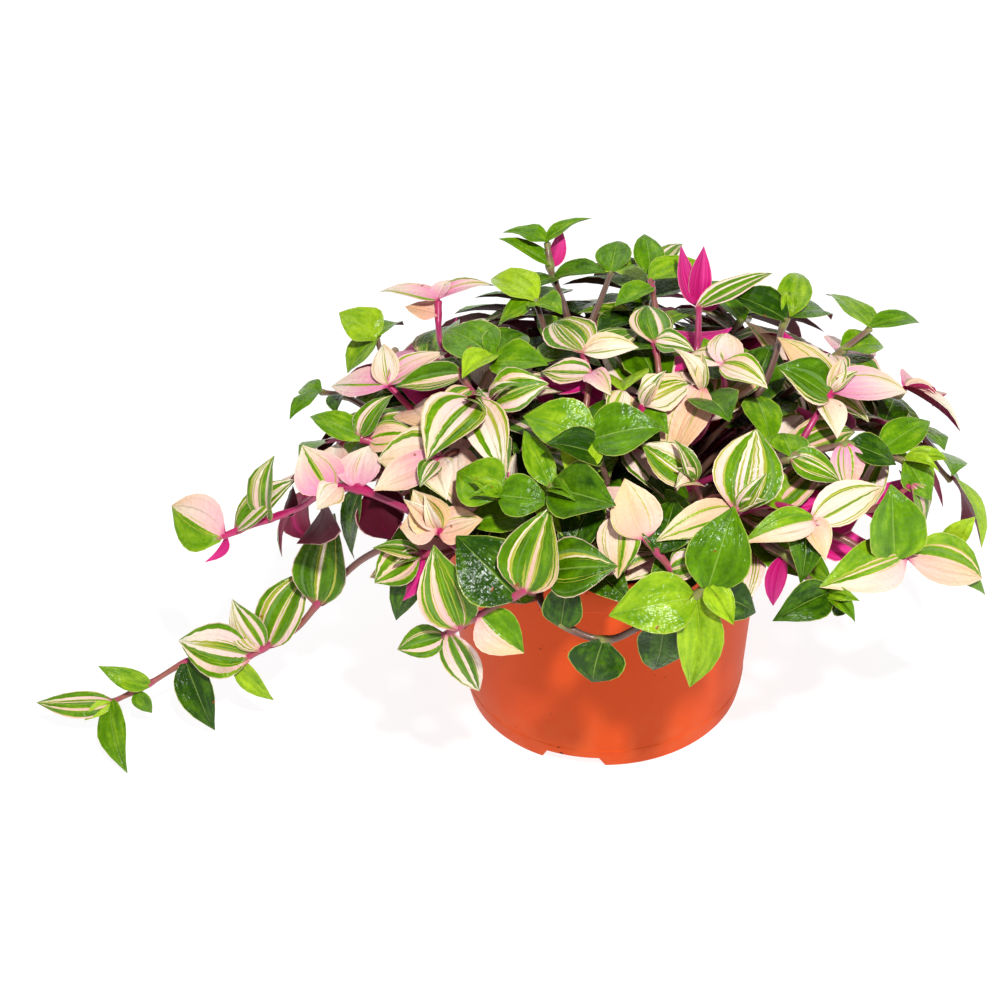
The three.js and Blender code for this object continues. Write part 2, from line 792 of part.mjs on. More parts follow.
// The directions of a leaf: along it, up from its face, and to its side.
function leafFrame(base, tip, look, light) {
  const along = tip.clone().sub(base);
  const length = along.length();
  along.normalize();
  const middle = base.clone().lerp(tip, 0.5);
  const up = moundNormal(middle).add(light);
  if (TURNED_OVER.includes(look)) up.negate();
  up.addScaledVector(along, -up.dot(along)).normalize();
  const side = along.clone().cross(up);
  return { base, along, up, side, length };
}

// A point of a leaf's middle surface: a share of its length, and a distance out from the midrib.
function leafPoint(frame, share, across) {
  const lift = BLADE_ARCH * frame.length * 4 * share * (1 - share) + BLADE_FOLD * Math.abs(across);
  return frame.base.clone()
    .addScaledVector(frame.along, frame.length * share)
    .addScaledVector(frame.side, across)
    .addScaledVector(frame.up, lift);
}

// A blade: a thin arched leaf folded along its midrib, six-sided, both faces split into triangles alike.
// It starts at a share of its length, or at its root sunk into the stem, and may be a little larger all round.
function bladeSolid(frame, width, thickness, from, size) {
  const places = [[from > 0 ? from : -BASE_SINK / frame.length, 0]];
  for (const sign of [1, -1]) {
    for (const [share, part] of BLADE_ROWS) {
      places.push([Math.max(share, from + LEAST_ROW_STEP), (sign * size * part * width) / 2]);
    }
  }
  places.push([(1 + size) / 2, 0], [MIDRIB_SHARE, 0]);
  const outline = [0, 1, 2, 5, 4, 3];
  const middle = places.length - 1;
  const under = places.length;
  const positions = [0.5, -0.5].flatMap((sign) => places.flatMap(([share, across]) =>
    leafPoint(frame, share, across).addScaledVector(frame.up, sign * thickness).toArray()));
  const triangles = outline.flatMap((a, i) => {
    const b = outline[(i + 1) % outline.length];
    return [a, b, middle, b + under, a + under, middle + under, a + under, b + under, b, a + under, b, a];
  });
  return new wasm.Manifold(new wasm.Mesh({
    numProp: 3,
    vertProperties: new Float32Array(positions),
    triVerts: new Uint32Array(triangles),
  }));
}

// The small turns, tilts and size changes that may bring a leaf clear of its neighbours, the slightest first.
function leafTries() {
  const tries = LEAF_SIZES.flatMap((size) =>
    LEAF_TURNS.flatMap((turn) => LEAF_TILTS.map((tilt) => ({ turn, tilt, size }))));
  const cost = (t) => (Math.abs(t.turn) + Math.abs(t.tilt)) / TURN_STEP + SHRINK_COST * (1 - t.size);
  return tries.sort((p, q) => cost(p) - cost(q));
}

function turnedLeaf(base, { tip, look, width }, light, attempt) {
  const plain = leafFrame(base, tip, look, light);
  const chord = plain.along.clone().multiplyScalar(plain.length * attempt.size);
  chord.applyAxisAngle(plain.up, radians(attempt.turn));
  chord.applyAxisAngle(plain.side, radians(attempt.tilt));
  return { frame: leafFrame(base, base.clone().add(chord), look, light), width: width * attempt.size };
}

// Everything already in place, each piece with its box and the shoot that it belongs to.
const placed = [];

function place(shoot, solid, kind) {
  const box = solid.boundingBox();
  placed.push({ shoot, solid, kind, min: box.min, max: box.max });
}

function touches(probe, wanted) {
  const { min, max } = probe.boundingBox();
  return placed.some((other) => {
    if (!wanted(other)) return false;
    if ([0, 1, 2].some((k) => other.min[k] > max[k] || other.max[k] < min[k])) return false;
    return !probe.intersect(other.solid).isEmpty();
  });
}

// The leaf as it fits between its neighbours, clear of its own shoot's leaves too where it can be, or nothing.
function fittedLeaf(shoot, plan) {
  const base = shoot.path.at(plan.at);
  for (const ownLeavesToo of [true, false]) {
    for (const attempt of LEAF_TRIES) {
      const { frame, width } = turnedLeaf(base, plan, shoot.light, attempt);
      const room = bladeSolid(frame, width, BLADE_THICKNESS + ROOM_THICKNESS, 0, ROOM_SIZE);
      if (room.boundingBox().min[2] < LEAST_BLADE_HEIGHT) continue;
      if (touches(room, (other) => other.shoot !== shoot.name)) continue;
      if (ownLeavesToo) {
        const outer = bladeSolid(frame, width, BLADE_THICKNESS + OWN_ROOM_THICKNESS, OWN_ROOM_FROM, 1);
        if (touches(outer, (other) => other.shoot === shoot.name && other.kind === "leaf")) continue;
      }
      return bladeSolid(frame, width, BLADE_THICKNESS, 0, 1);
    }
  }
  return null;
}

// The tip of a leaf set out by rule from its base, swung from the stem's heading and lifted off the mound.
function swungTip(base, heading, swing, length) {
  const outward = moundNormal(base);
  const forward = heading.clone().addScaledVector(outward, -heading.dot(outward)).normalize();
  const sideways = forward.clone().cross(outward);
  return base.clone()
    .addScaledVector(forward, length * Math.cos(radians(swing)))
    .addScaledVector(sideways, length * Math.sin(radians(swing)))
    .addScaledVector(outward, BACK_LEAF_LIFT * length);
}

// The leaves of a back shoot, swung to the other side on every second shoot and shortened by turns.
function backLeaves(stem, colour, i) {
  const heading = stem[1].clone().sub(stem[0]);
  return BACK_LEAVES.map(({ at, swing, length, width }, k) => {
    const base = stem[0].clone().lerp(stem[1], at);
    const grown = length * (1 - BACK_LEAF_CHANGE * ((i + k) % 3));
    const tip = swungTip(base, heading, i % 2 ? -swing : swing, grown);
    return { at, tip, look: BACK_LOOKS[colour][k], width };
  });
}

// The front shoots as listed, and the back shoots worked out by rule, in one form.
function allShoots() {
  const front = Object.entries(FRONT_SHOOTS).map(([name, shoot]) => ({
    name,
    colour: shoot.colour,
    light: shoot.light ?? FRONT_LIGHT,
    stem: shoot.stem.map(vector),
    leaves: shoot.leaves.map(([at, tip, look, width]) => ({ at, tip: vector(tip), look, width })),
  }));
  const back = BACK_SHOOTS.map(({ bearing, height, colour }, i) => {
    const start = bearing + (i % 2 ? -BACK_SWAY : BACK_SWAY);
    const stem = [moundPoint(start, height + BACK_CLIMB, BACK_START), moundPoint(bearing, height, BACK_END)];
    return { name: `back_${i + 1}`, colour, light: BACK_LIGHT, stem, leaves: backLeaves(stem, colour, i) };
  });
  return [...front, ...back];
}

// Each shoot's stem, with the first of its roots that passes clear of the stems before it.
function layStems(shoots) {
  const laid = [];
  const crossing = [];
  const gap = 2 * STEM_RADIUS + STEM_CLEARANCE;
  for (const shoot of shoots) {
    const inTheWay = new Set();
    const chosen = ROOT_TRIES.some((attempt) => {
      shoot.path = new StemPath([...rootAndRise(shoot.stem[0], attempt), ...shoot.stem]);
      shoot.samples = sampleStem(shoot.path);
      const near = laid.filter((other) => stemDistance(shoot.samples, other.samples) < gap);
      near.forEach((other) => inTheWay.add(other.name));
      return near.length === 0 && clearOfPot(shoot.samples);
    });
    if (!chosen) crossing.push(`${shoot.name} against ${[...inTheWay].join(" ") || "the pot"}`);
    laid.push(shoot);
    shoot.solid = stemSolid(shoot.path);
  }
  if (crossing.length) throw new Error(`stems cross: ${crossing.join("; ")}`);
}

// Every leaf, fitted between what is in place and fused to its stem. It returns the leaves that found no room.
function growLeaves(shoots, pot) {
  place("pot", pot, "pot");
  for (const shoot of shoots) place(shoot.name, shoot.solid, "stem");
  const leftOut = [];
  for (const shoot of shoots) {
    shoot.leaves.forEach((plan, i) => {
      if (plan.width < SMALLEST_BLADE_WIDTH) return;
      const leaf = fittedLeaf(shoot, plan);
      if (!leaf) {
        leftOut.push(`${shoot.name} ${i}`);
        return;
      }
      place(shoot.name, leaf, "leaf");
      shoot.solid = shoot.solid.add(leaf);
    });
  }
  return leftOut;
}

// The soil with a plain upright hole round each stem's root.
function soilWithHoles(shoots) {
  let soil = soilSolid();
  for (const { path } of shoots) {
    const { x, y, z } = path.points[0];
    const hole = prism(polygon(HOLE_RADIUS, HOLE_SIDES, x, y), z - HOLE_UNDER_ROOT, SOIL_TOP + CUT_MARGIN);
    soil = soil.subtract(solidFrom(hole));
  }
  return soil;
}

const ROOT_TRIES = rootTries();
const LEAF_TRIES = leafTries();
const pot = potSolid();
const shoots = allShoots();
layStems(shoots);
const leftOut = growLeaves(shoots, pot);

const plant = new THREE.Group();
for (const shoot of shoots) {
  plant.add(meshFrom(`spray_${shoot.name}`, shoot.solid, BLADE_COLOUR[shoot.colour], BLADE_ROUGHNESS));
}
const group = new THREE.Group();
group.userData.leftOut = leftOut;
group.add(meshFrom("pot", pot, POT_COLOUR, POT_ROUGHNESS));
group.add(meshFrom("soil", soilWithHoles(shoots), SOIL_COLOUR, SOIL_ROUGHNESS));
group.add(plant);

export default group;
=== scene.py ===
"""A potted tradescantia: a nursery pot of soil with a dense mound of trailing leafy stems."""

import sys

import json
import logging
import math
from dataclasses import dataclass, field
from enum import Enum
from typing import Any, Final, Sequence

import bpy
import numpy as np
from mathutils import Matrix, Vector

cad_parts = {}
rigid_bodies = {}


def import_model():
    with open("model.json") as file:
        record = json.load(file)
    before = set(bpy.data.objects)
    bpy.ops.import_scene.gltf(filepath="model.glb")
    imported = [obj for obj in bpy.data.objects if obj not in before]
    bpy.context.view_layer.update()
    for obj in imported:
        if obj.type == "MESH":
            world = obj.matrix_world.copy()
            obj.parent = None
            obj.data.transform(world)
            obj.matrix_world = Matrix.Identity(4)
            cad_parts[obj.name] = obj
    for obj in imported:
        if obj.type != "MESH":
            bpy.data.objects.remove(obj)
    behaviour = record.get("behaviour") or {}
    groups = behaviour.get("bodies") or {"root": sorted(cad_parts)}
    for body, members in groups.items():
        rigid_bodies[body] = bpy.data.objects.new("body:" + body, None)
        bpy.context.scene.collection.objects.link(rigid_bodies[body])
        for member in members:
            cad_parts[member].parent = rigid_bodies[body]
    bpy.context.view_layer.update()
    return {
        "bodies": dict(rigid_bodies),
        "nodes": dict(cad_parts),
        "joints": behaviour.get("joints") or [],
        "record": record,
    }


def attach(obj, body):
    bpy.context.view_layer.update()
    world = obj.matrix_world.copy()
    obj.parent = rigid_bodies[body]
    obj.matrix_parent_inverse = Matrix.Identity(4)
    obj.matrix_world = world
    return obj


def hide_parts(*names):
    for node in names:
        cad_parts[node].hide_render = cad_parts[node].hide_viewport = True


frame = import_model()

log = logging.getLogger("tradescantia")

# Lengths are in millimetres until a mesh is made, and a mesh is in metres
MM: Final = 0.001
BODY: Final = "root"

# The mound that the foliage fills: the middle and the radii of an ellipsoid
MOUND_MIDDLE: Final = np.array([8.0, 0.0, 85.0])
MOUND_RADII: Final = np.array([126.0, 102.0, 74.0])

# Leaves face away from the mound and are turned towards the light
FRONT_LIGHT: Final = (0, -0.4, 0.8)
BACK_LIGHT: Final = (0, 0.1, 0.8)
TRAIL_LIGHT: Final = (0.2, -1.6, 2)

# Pot and soil
RIM_RADIUS: Final = 65.0
POT_HEIGHT: Final = 96.0
FOOT_RADIUS: Final = 54.0
WALL: Final = 1.4
WALL_FOOT_RADIUS: Final = 55.0
WALL_TOP_RADIUS: Final = 61.6
COLLAR_FOOT: Final = 83.0
SKIRT_HEIGHT: Final = 5.0
BASE_UNDER: Final = 4.0
FLOOR_TOP: Final = BASE_UNDER + WALL
SOIL_TOP: Final = 86.0
WELD: Final = 0.02

# Where a stem stands in the soil, and how it rises inside the mound
ROOT_HEIGHT: Final = 72.0
COLLAR_HEIGHT: Final = 88.5
RISE_LIFTS: Final = (0.6, 0.75, 0.45)
LEAST_RISE_HEIGHT: Final = 116.0
HIDDEN_POINTS: Final = 3

# The plain stems and blades of the frame, and how a blade is found there
PLAIN_STEM_RADIUS: Final = 1.6
PLAIN_STEM_SIDES: Final = 4
PLAIN_ARCH: Final = 0.07
PLAIN_FOLD: Final = 0.24
PLAIN_HALF_THICKNESS: Final = 0.35
PLAIN_ROW: Final = (0.2, 0.43)
LEAST_PLAIN_WIDTH: Final = 8.0
LEAF_SIZES: Final = (1.0, 0.9, 0.8, 0.68)
LEAF_TURNS: Final = range(-48, 49, 8)
LEAF_TILTS: Final = range(-35, 36, 7)
TRIES: Final = np.array(
    [(turn, tilt, size) for size in LEAF_SIZES for turn in LEAF_TURNS for tilt in LEAF_TILTS], float
)
MATCH: Final = 0.03

# A listed leaf no wider than this is a young one
YOUNG_WIDTH: Final = 12

# The seed of the first shoot's draws
FIRST_SEED: Final = 100
# A full turn in radians, for draws of an angle
FULL_TURN: Final = 6.3

UV_NAME: Final = "leaf"
LOOK_NAME: Final = "look"
MARK_NAME: Final = "mark"


class Look(Enum):
    """What a leaf looks like."""

    STRIPED = "striped"
    GREEN = "green"
    FRESH = "fresh"
    DARK = "dark"
    LIME = "lime"
    HALF = "half"
    OTHER = "other_half"
    LINED = "lined"
    CREAM = "cream"
    PEACH = "peach"
    PINK = "pink"
    MAGENTA = "magenta"
    DUSKY = "dusky"


STRIPED, GREEN, FRESH, DARK, LIME, HALF, OTHER, LINED, CREAM, PEACH, PINK, MAGENTA, DUSKY = Look
TURNED_OVER: Final = (MAGENTA, DUSKY)
SLOTS: Final = {GREEN: "green_foliage", STRIPED: "striped_foliage", PINK: "pink_foliage"}


@dataclass(frozen=True)
class ShootPlan:
    """A leafy shoot: its stem's visible points, and its leaves as place along them, tip, look and width."""

    name: str
    colour: Look
    stem: Sequence[Sequence[float]]
    leaves: Sequence[tuple[float, Sequence[float], Look, float]]
    light: Sequence[float] = FRONT_LIGHT


# The shoots that face the front, as in the frame
FRONT_SHOOTS: Final = [
    ShootPlan("trail_left", STRIPED, [
        (-60, -36, 106), (-76, -31, 91), (-92, -23, 75), (-108, -22, 56), (-117, -25, 46), (-130, -25, 37),
        (-137, -26, 33), (-163, -21, 26), (-178, -27, 20), (-193, -31, 14),
    ], [
        (3, (-101, -6, 86), LINED, 23), (4.9, (-113, -9, 62), STRIPED, 20),
        (5.2, (-143, -12, 50), STRIPED, 15), (6, (-166, -19, 35), STRIPED, 22),
        (6.2, (-129, -31, 14), LIME, 9),
        (7, (-153, -37, 4), DARK, 16), (8, (-196, -29, 31), GREEN, 9), (8.3, (-178, -31, 8), GREEN, 8),
        (9, (-223, -32, 15), STRIPED, 11), (9, (-184, -58, 2), GREEN, 13), (9, (-203, -38, 11), LIME, 6),
    ], light=TRAIL_LIGHT),
    ShootPlan("left_pink", PINK, [
        (-57, -56, 115), (-66, -57, 124), (-78, -48, 124), (-85, -43, 124), (-96, -39, 121),
        (-109, -32, 108), (-121, -29, 101), (-133, -29, 96), (-139, -30, 94),
    ], [
        (8, (-160, -17, 99), HALF, 22), (8, (-147, -30, 82), MAGENTA, 10),
        (7, (-111, -22, 114), STRIPED, 14), (6, (-116, -20, 123), STRIPED, 17),
        (5.6, (-112, -29, 116), DUSKY, 9), (4, (-105, -33, 136), PINK, 20), (4, (-95, -19, 127), PINK, 17),
        (3, (-82, -29, 133), PINK, 17), (3.6, (-100, -48, 119), CREAM, 12),
        (4.3, (-111, -27, 88), DUSKY, 18), (2.5, (-73, -60, 114), DUSKY, 20),
        (2.8, (-91, -38, 88), DARK, 13),
    ]),
    ShootPlan("left_cream", STRIPED, [
        (-52, -40, 137), (-56, -50, 139),
    ], [
        (1, (-52, -68, 137), CREAM, 13), (1, (-61, -63, 136), STRIPED, 9),
        (0.7, (-78, -40, 134), CREAM, 19), (0.9, (-76, -53, 126), PINK, 15),
    ]),
    ShootPlan("left_peach", PINK, [
        (-50, -66, 115), (-56, -67, 124),
    ], [
        (1, (-69, -66, 124), PEACH, 15), (0.9, (-64, -58, 134), PEACH, 15),
        (0.8, (-42, -70, 131), PEACH, 14),
    ]),
    ShootPlan("left_low", STRIPED, [
        (-56, -62, 109), (-63, -66, 112),
    ], [
        (1, (-79, -70, 103), STRIPED, 16), (0.9, (-68, -82, 104), MAGENTA, 12),
        (0.5, (-73, -70, 86), DARK, 13),
    ]),
    ShootPlan("mid_left_hang", STRIPED, [
        (-52, -4, 147), (-48, -14, 150), (-45, -22, 150), (-43, -31, 151),
    ], [
        (3, (-59, -52, 140), STRIPED, 23), (3, (-34, -60, 144), CREAM, 16),
        (2.6, (-28, -53, 140), PINK, 14), (2, (-55, -36, 148), STRIPED, 10),
        (0.8, (-73, -11, 146), STRIPED, 14),
    ]),
    ShootPlan("front_left", STRIPED, [
        (-9, -74, 116), (-16, -81, 117), (-26, -86, 112), (-35, -86, 106), (-42, -85, 100), (-49, -83, 94),
        (-55, -80, 87),
    ], [
        (2, (-17, -75, 138), STRIPED, 22), (2.4, (-49, -74, 126), DARK, 25),
        (3.9, (-27, -92, 89), HALF, 17), (5, (-57, -74, 122), STRIPED, 21),
        (5.6, (-44, -84, 64), STRIPED, 14), (6, (-72, -80, 81), STRIPED, 12),
        (1.2, (5, -88, 123), LINED, 21),
    ]),
    ShootPlan("front_green", GREEN, [
        (-21, -78, 100), (-14, -86, 97), (0, -89, 92), (14, -93, 102), (30, -92, 112), (35, -91, 116),
    ], [
        (2, (-4, -93, 76), DARK, 20), (4, (2, -98, 110), FRESH, 21), (5, (44, -76, 138), GREEN, 22),
        (4.6, (52, -84, 99), DARK, 15), (5, (43, -101, 108), LIME, 10), (4.2, (29, -103, 82), LIME, 16),
        (3.4, (17, -90, 78), DARK, 17), (1, (-14, -86, 118), DARK, 14),
    ]),
    ShootPlan("right_low", GREEN, [
        (59, -70, 116), (64, -75, 114), (69, -79, 110), (76, -80, 104),
    ], [
        (0.6, (57, -88, 105), MAGENTA, 12), (3, (57, -92, 102), DARK, 14), (3, (85, -78, 98), DARK, 14),
    ]),
    ShootPlan("mid_right_pair", STRIPED, [
        (37, -69, 121), (46, -71, 133),
    ], [
        (1, (53, -48, 150), STRIPED, 24), (0.9, (18, -82, 129), CREAM, 13),
    ]),
    ShootPlan("right_pink", PINK, [
        (64, -61, 126), (71, -69, 126),
    ], [
        (1, (47, -80, 126), OTHER, 12), (1, (97, -51, 127), CREAM, 15), (1, (78, -64, 130), MAGENTA, 9),
        (0.5, (66, -80, 108), DARK, 13), (0.8, (76, -76, 115), PEACH, 10),
    ]),
    ShootPlan("right_stem", GREEN, [
        (56, -49, 135), (65, -49, 138), (86, -39, 136), (97, -36, 131), (106, -36, 127),
    ], [
        (2, (103, -39, 128), DARK, 13), (3, (118, -14, 129), GREEN, 13), (4, (115, -44, 116), GREEN, 15),
        (1.9, (85, -53, 126), PINK, 13), (1, (82, -53, 131), STRIPED, 13), (1, (63, -36, 140), GREEN, 14),
    ]),
    ShootPlan("far_right", STRIPED, [
        (83, -62, 113), (95, -65, 107), (103, -62, 105), (114, -49, 99), (121, -45, 98),
    ], [
        (2, (73, -83, 109), OTHER, 19), (2.2, (135, -53, 88), HALF, 19), (3, (137, -50, 78), GREEN, 11),
        (4, (131, -44, 108), LIME, 9), (1.6, (98, -52, 129), GREEN, 24),
    ]),
    ShootPlan("far_right_droop", STRIPED, [
        (99, -46, 116), (107, -44, 122),
    ], [
        (1, (124, -47, 100), STRIPED, 13), (1, (113, -32, 120), GREEN, 11),
    ]),
    ShootPlan("right_back_green", GREEN, [
        (79, 0, 143), (89, 15, 141), (95, 20, 143), (100, 25, 144),
    ], [
        (3, (87, 55, 143), GREEN, 13), (3, (122, 43, 136), GREEN, 9), (1, (107, 30, 134), GREEN, 13),
        (0.6, (86, -10, 144), CREAM, 10),
    ]),
    ShootPlan("right_star", PINK, [
        (70, -34, 135), (74, -30, 140), (81, -19, 145),
    ], [
        (2, (111, -6, 137), PINK, 16), (2, (64, 2, 156), PEACH, 15), (1.8, (60, -17, 152), LINED, 21),
        (1.7, (82, -37, 138), CREAM, 11),
    ]),
    ShootPlan("right_top_green", GREEN, [
        (58, -15, 146), (62, -5, 149), (67, 17, 150), (69, 24, 150),
    ], [
        (3, (89, 45, 138), GREEN, 15), (3, (76, 55, 149), FRESH, 13), (2.6, (46, 31, 157), DARK, 18),
        (2, (72, 8, 147), MAGENTA, 9),
    ]),
    ShootPlan("top_lime", GREEN, [
        (-3, 9, 156), (1, 26, 158), (5, 49, 156),
    ], [
        (2, (8, 70, 159), GREEN, 14), (2, (22, 60, 153), GREEN, 9), (2, (-9, 58, 152), LIME, 9),
    ]),
    ShootPlan("top_striped", STRIPED, [
        (21, 15, 156), (20, 33, 158), (20, 47, 156),
    ], [
        (2, (33, 70, 157), STRIPED, 9), (2, (18, 69, 155), GREEN, 12), (1.5, (40, 55, 154), GREEN, 14),
        (1, (6, 22, 158), GREEN, 10),
    ]),
    ShootPlan("top_magenta", PINK, [
        (35, -3, 155), (36, 9, 158), (37, 26, 156),
    ], [
        (2, (31, 44, 170), MAGENTA, 13), (2, (39, 42, 169), MAGENTA, 14), (2, (47, 36, 155), MAGENTA, 11),
        (1.6, (61, 50, 153), STRIPED, 10),
    ]),
    ShootPlan("top_shoot", GREEN, [
        (-11, 17, 155), (-15, 42, 154), (-18, 55, 156), (-19, 61, 163),
    ], [
        (3, (-36, 66, 166), GREEN, 11), (3, (-2, 66, 171), GREEN, 9), (2.1, (-16, 62, 171), MAGENTA, 12),
        (2, (-36, 62, 168), GREEN, 9), (1.4, (-25, 36, 157), DARK, 11), (1.4, (4, 42, 158), DARK, 13),
    ]),
    ShootPlan("top_left_green", GREEN, [
        (-19, 9, 154), (-23, 29, 156),
    ], [
        (1, (-40, 50, 152), LIME, 16), (1, (-38, 23, 154), GREEN, 12), (0.9, (-13, 12, 161), GREEN, 12),
    ]),
    ShootPlan("left_mid_green", GREEN, [
        (-35, -17, 148), (-38, -6, 154),
    ], [
        (1, (-56, 18, 152), GREEN, 21), (1, (-48, -20, 155), LIME, 12), (0.9, (-26, 12, 158), DARK, 17),
        (0.8, (-18, -17, 158), GREEN, 17),
    ]),
    ShootPlan("mid_striped", STRIPED, [
        (-42, -30, 138), (-37, -30, 150),
    ], [
        (1, (-18, -31, 158), STRIPED, 19),
    ]),
    ShootPlan("left_pink_top", PINK, [
        (-58, 19, 144), (-60, 32, 145), (-60, 38, 152),
    ], [
        (2, (-83, 46, 153), PINK, 10), (2, (-57, 48, 156), PINK, 8), (2, (-39, 46, 154), PINK, 10),
        (1.4, (-73, 40, 149), PEACH, 13),
    ]),
    ShootPlan("left_star", PINK, [
        (-71, -6, 136), (-76, -3, 141),
    ], [
        (1, (-100, 12, 132), PINK, 15), (1, (-78, 16, 144), CREAM, 11), (1, (-55, 8, 148), PINK, 13),
    ]),
    ShootPlan("left_striped_up", STRIPED, [
        (-77, -27, 131), (-85, -25, 133),
    ], [
        (1, (-74, -12, 143), STRIPED, 12), (1, (-89, -7, 133), STRIPED, 14),
        (0.9, (-102, -8, 126), GREEN, 11), (0.5, (-66, -35, 141), CREAM, 14),
    ]),
    ShootPlan("far_left_dark", GREEN, [
        (-84, 2, 127), (-95, 12, 127), (-105, 20, 124),
    ], [
        (2, (-116, 6, 122), GREEN, 10), (2, (-115, 31, 119), GREEN, 9), (1, (-97, -2, 129), DARK, 10),
    ]),
    ShootPlan("left_top_green", GREEN, [
        (-78, 19, 134), (-85, 42, 133),
    ], [
        (1, (-100, 52, 140), GREEN, 17), (1, (-76, 56, 132), GREEN, 15), (1, (-97, 34, 124), GREEN, 18),
    ]),
    ShootPlan("mid_green", GREEN, [
        (1, -57, 140), (-3, -53, 149),
    ], [
        (1, (21, -52, 154), GREEN, 21), (1, (-26, -44, 154), GREEN, 20), (1, (-11, -66, 145), LIME, 15),
        (0.5, (-22, -59, 147), DARK, 16), (0.6, (2, -33, 154), DARK, 15),
    ]),
    ShootPlan("mid_glossy", GREEN, [
        (-27, -65, 131), (-34, -67, 137),
    ], [
        (1, (-49, -56, 140), GREEN, 20), (1, (-17, -70, 137), GREEN, 16),
    ]),
    ShootPlan("mid_dark", GREEN, [
        (-21, -56, 138), (-16, -66, 139),
    ], [
        (1, (6, -76, 136), DARK, 21), (0.8, (-26, -46, 150), GREEN, 10),
    ]),
    ShootPlan("top_white", STRIPED, [
        (-4, -18, 154), (-5, -13, 159),
    ], [
        (1, (-17, 14, 161), STRIPED, 19), (1, (14, -12, 161), CREAM, 12), (0.8, (16, 6, 160), STRIPED, 12),
    ]),
    ShootPlan("mid_curl", STRIPED, [
        (-5, -34, 148), (-3, -24, 157),
    ], [
        (1, (-21, -17, 157), STRIPED, 13), (1, (4, -38, 158), PINK, 9), (0.9, (-16, -2, 159), MAGENTA, 13),
    ]),
    ShootPlan("mid_lime", GREEN, [
        (5, -42, 148), (8, -34, 156),
    ], [
        (1, (8, -11, 158), LIME, 19), (1, (-11, -41, 153), CREAM, 12),
    ]),
    ShootPlan("mid_pink", PINK, [
        (12, -43, 146), (15, -39, 154),
    ], [
        (1, (32, -29, 157), CREAM, 16), (0.7, (23, -49, 149), GREEN, 10),
    ]),
    ShootPlan("mid_cream_hang", PINK, [
        (37, -34, 146), (35, -31, 155),
    ], [
        (1, (23, -58, 150), PEACH, 17), (0.6, (44, -52, 148), DARK, 18),
    ]),
    ShootPlan("mid_cream_low", STRIPED, [
        (34, -61, 128), (31, -63, 139),
    ], [
        (1, (14, -54, 149), STRIPED, 16), (0.9, (25, -75, 146), CREAM, 10),
    ]),
    ShootPlan("top_cream_star", PINK, [
        (44, -19, 147), (43, -18, 156),
    ], [
        (1, (46, 1, 159), CREAM, 13), (1, (58, -29, 154), CREAM, 14), (1, (30, -7, 156), CREAM, 12),
    ]),
    ShootPlan("top_mid_green", STRIPED, [
        (21, -16, 152), (20, -7, 159),
    ], [
        (1, (18, 15, 162), STRIPED, 15), (1, (34, -8, 158), STRIPED, 12), (0.8, (4, 4, 157), DARK, 12),
    ]),
    ShootPlan("mid_bare_stem", STRIPED, [
        (0, -65, 134), (5, -72, 134), (14, -80, 129), (23, -85, 119),
    ], [
        (2, (8, -69, 145), PEACH, 18), (1.2, (5, -90, 120), PEACH, 15), (3, (33, -87, 125), STRIPED, 11),
        (2.5, (25, -70, 139), DARK, 18),
    ]),
]

# The shoots on the far side: a bearing round the mound and a height up it, both in degrees
BACK_SHOOTS: Final = [
    (2, 4, GREEN), (24, -8, STRIPED), (50, 0, PINK), (74, -12, GREEN), (98, -2, STRIPED),
    (122, -14, PINK), (146, -2, GREEN), (172, -4, STRIPED), (18, 24, PINK), (62, 26, GREEN),
    (88, 22, STRIPED), (116, 26, GREEN), (140, 22, PINK), (84, 48, GREEN),
]
BACK_SWAY: Final = 7
BACK_CLIMB: Final = 18
BACK_START: Final = 0.88
BACK_END: Final = 0.98
BACK_LEAF_LIFT: Final = 0.22
BACK_LEAF_CHANGE: Final = 0.05
BACK_LEAVES: Final = [
    (1, 38, 29, 18), (1, -46, 31, 19), (0.55, 82, 31, 20), (0.3, -78, 32, 21), (0.05, 60, 30, 20),
]
BACK_LOOKS: Final = {
    GREEN: (LIME, GREEN, GREEN, DARK, DARK),
    STRIPED: (STRIPED, STRIPED, HALF, STRIPED, GREEN),
    PINK: (CREAM, PINK, MAGENTA, PINK, STRIPED),
}


def unit(vectors: np.ndarray) -> np.ndarray:
    """Vectors at length one."""
    return vectors / np.linalg.norm(vectors, axis=-1, keepdims=True)


def square_to(vectors: np.ndarray, axis: np.ndarray) -> np.ndarray:
    """Unit vectors made square to an axis of length one."""
    return unit(vectors - axis * np.sum(vectors * axis, axis=-1, keepdims=True))


def turned_about(vectors: np.ndarray, axis: np.ndarray, degrees: np.ndarray) -> np.ndarray:
    """Vectors turned about an axis of length one, each by its own angle.

    Args:
        vectors: The vectors, one to a row.
        axis: The axis that all turn about.
        degrees: An angle for each row.

    Returns:
        The turned vectors.
    """
    angle = np.radians(degrees)[:, None]
    along = axis * (vectors @ axis)[:, None]
    return vectors * np.cos(angle) + np.cross(axis, vectors) * np.sin(angle) + along * (1 - np.cos(angle))


def srgb(red: float, green: float, blue: float) -> tuple[float, float, float, float]:
    """A colour given from 0 to 255 a channel, as the shaders take it."""
    shares = [channel / 255 for channel in (red, green, blue)]
    return (*[s / 12.92 if s <= 0.04045 else ((s + 0.055) / 1.055) ** 2.4 for s in shares], 1.0)


def select_only(*objects: bpy.types.Object) -> None:
    """Deselects everything, then selects the objects and makes the first one active.

    Args:
        objects: What is selected.
    """
    bpy.ops.object.select_all(action="DESELECT")
    for each in objects:
        each.select_set(True)
    bpy.context.view_layer.objects.active = objects[0]


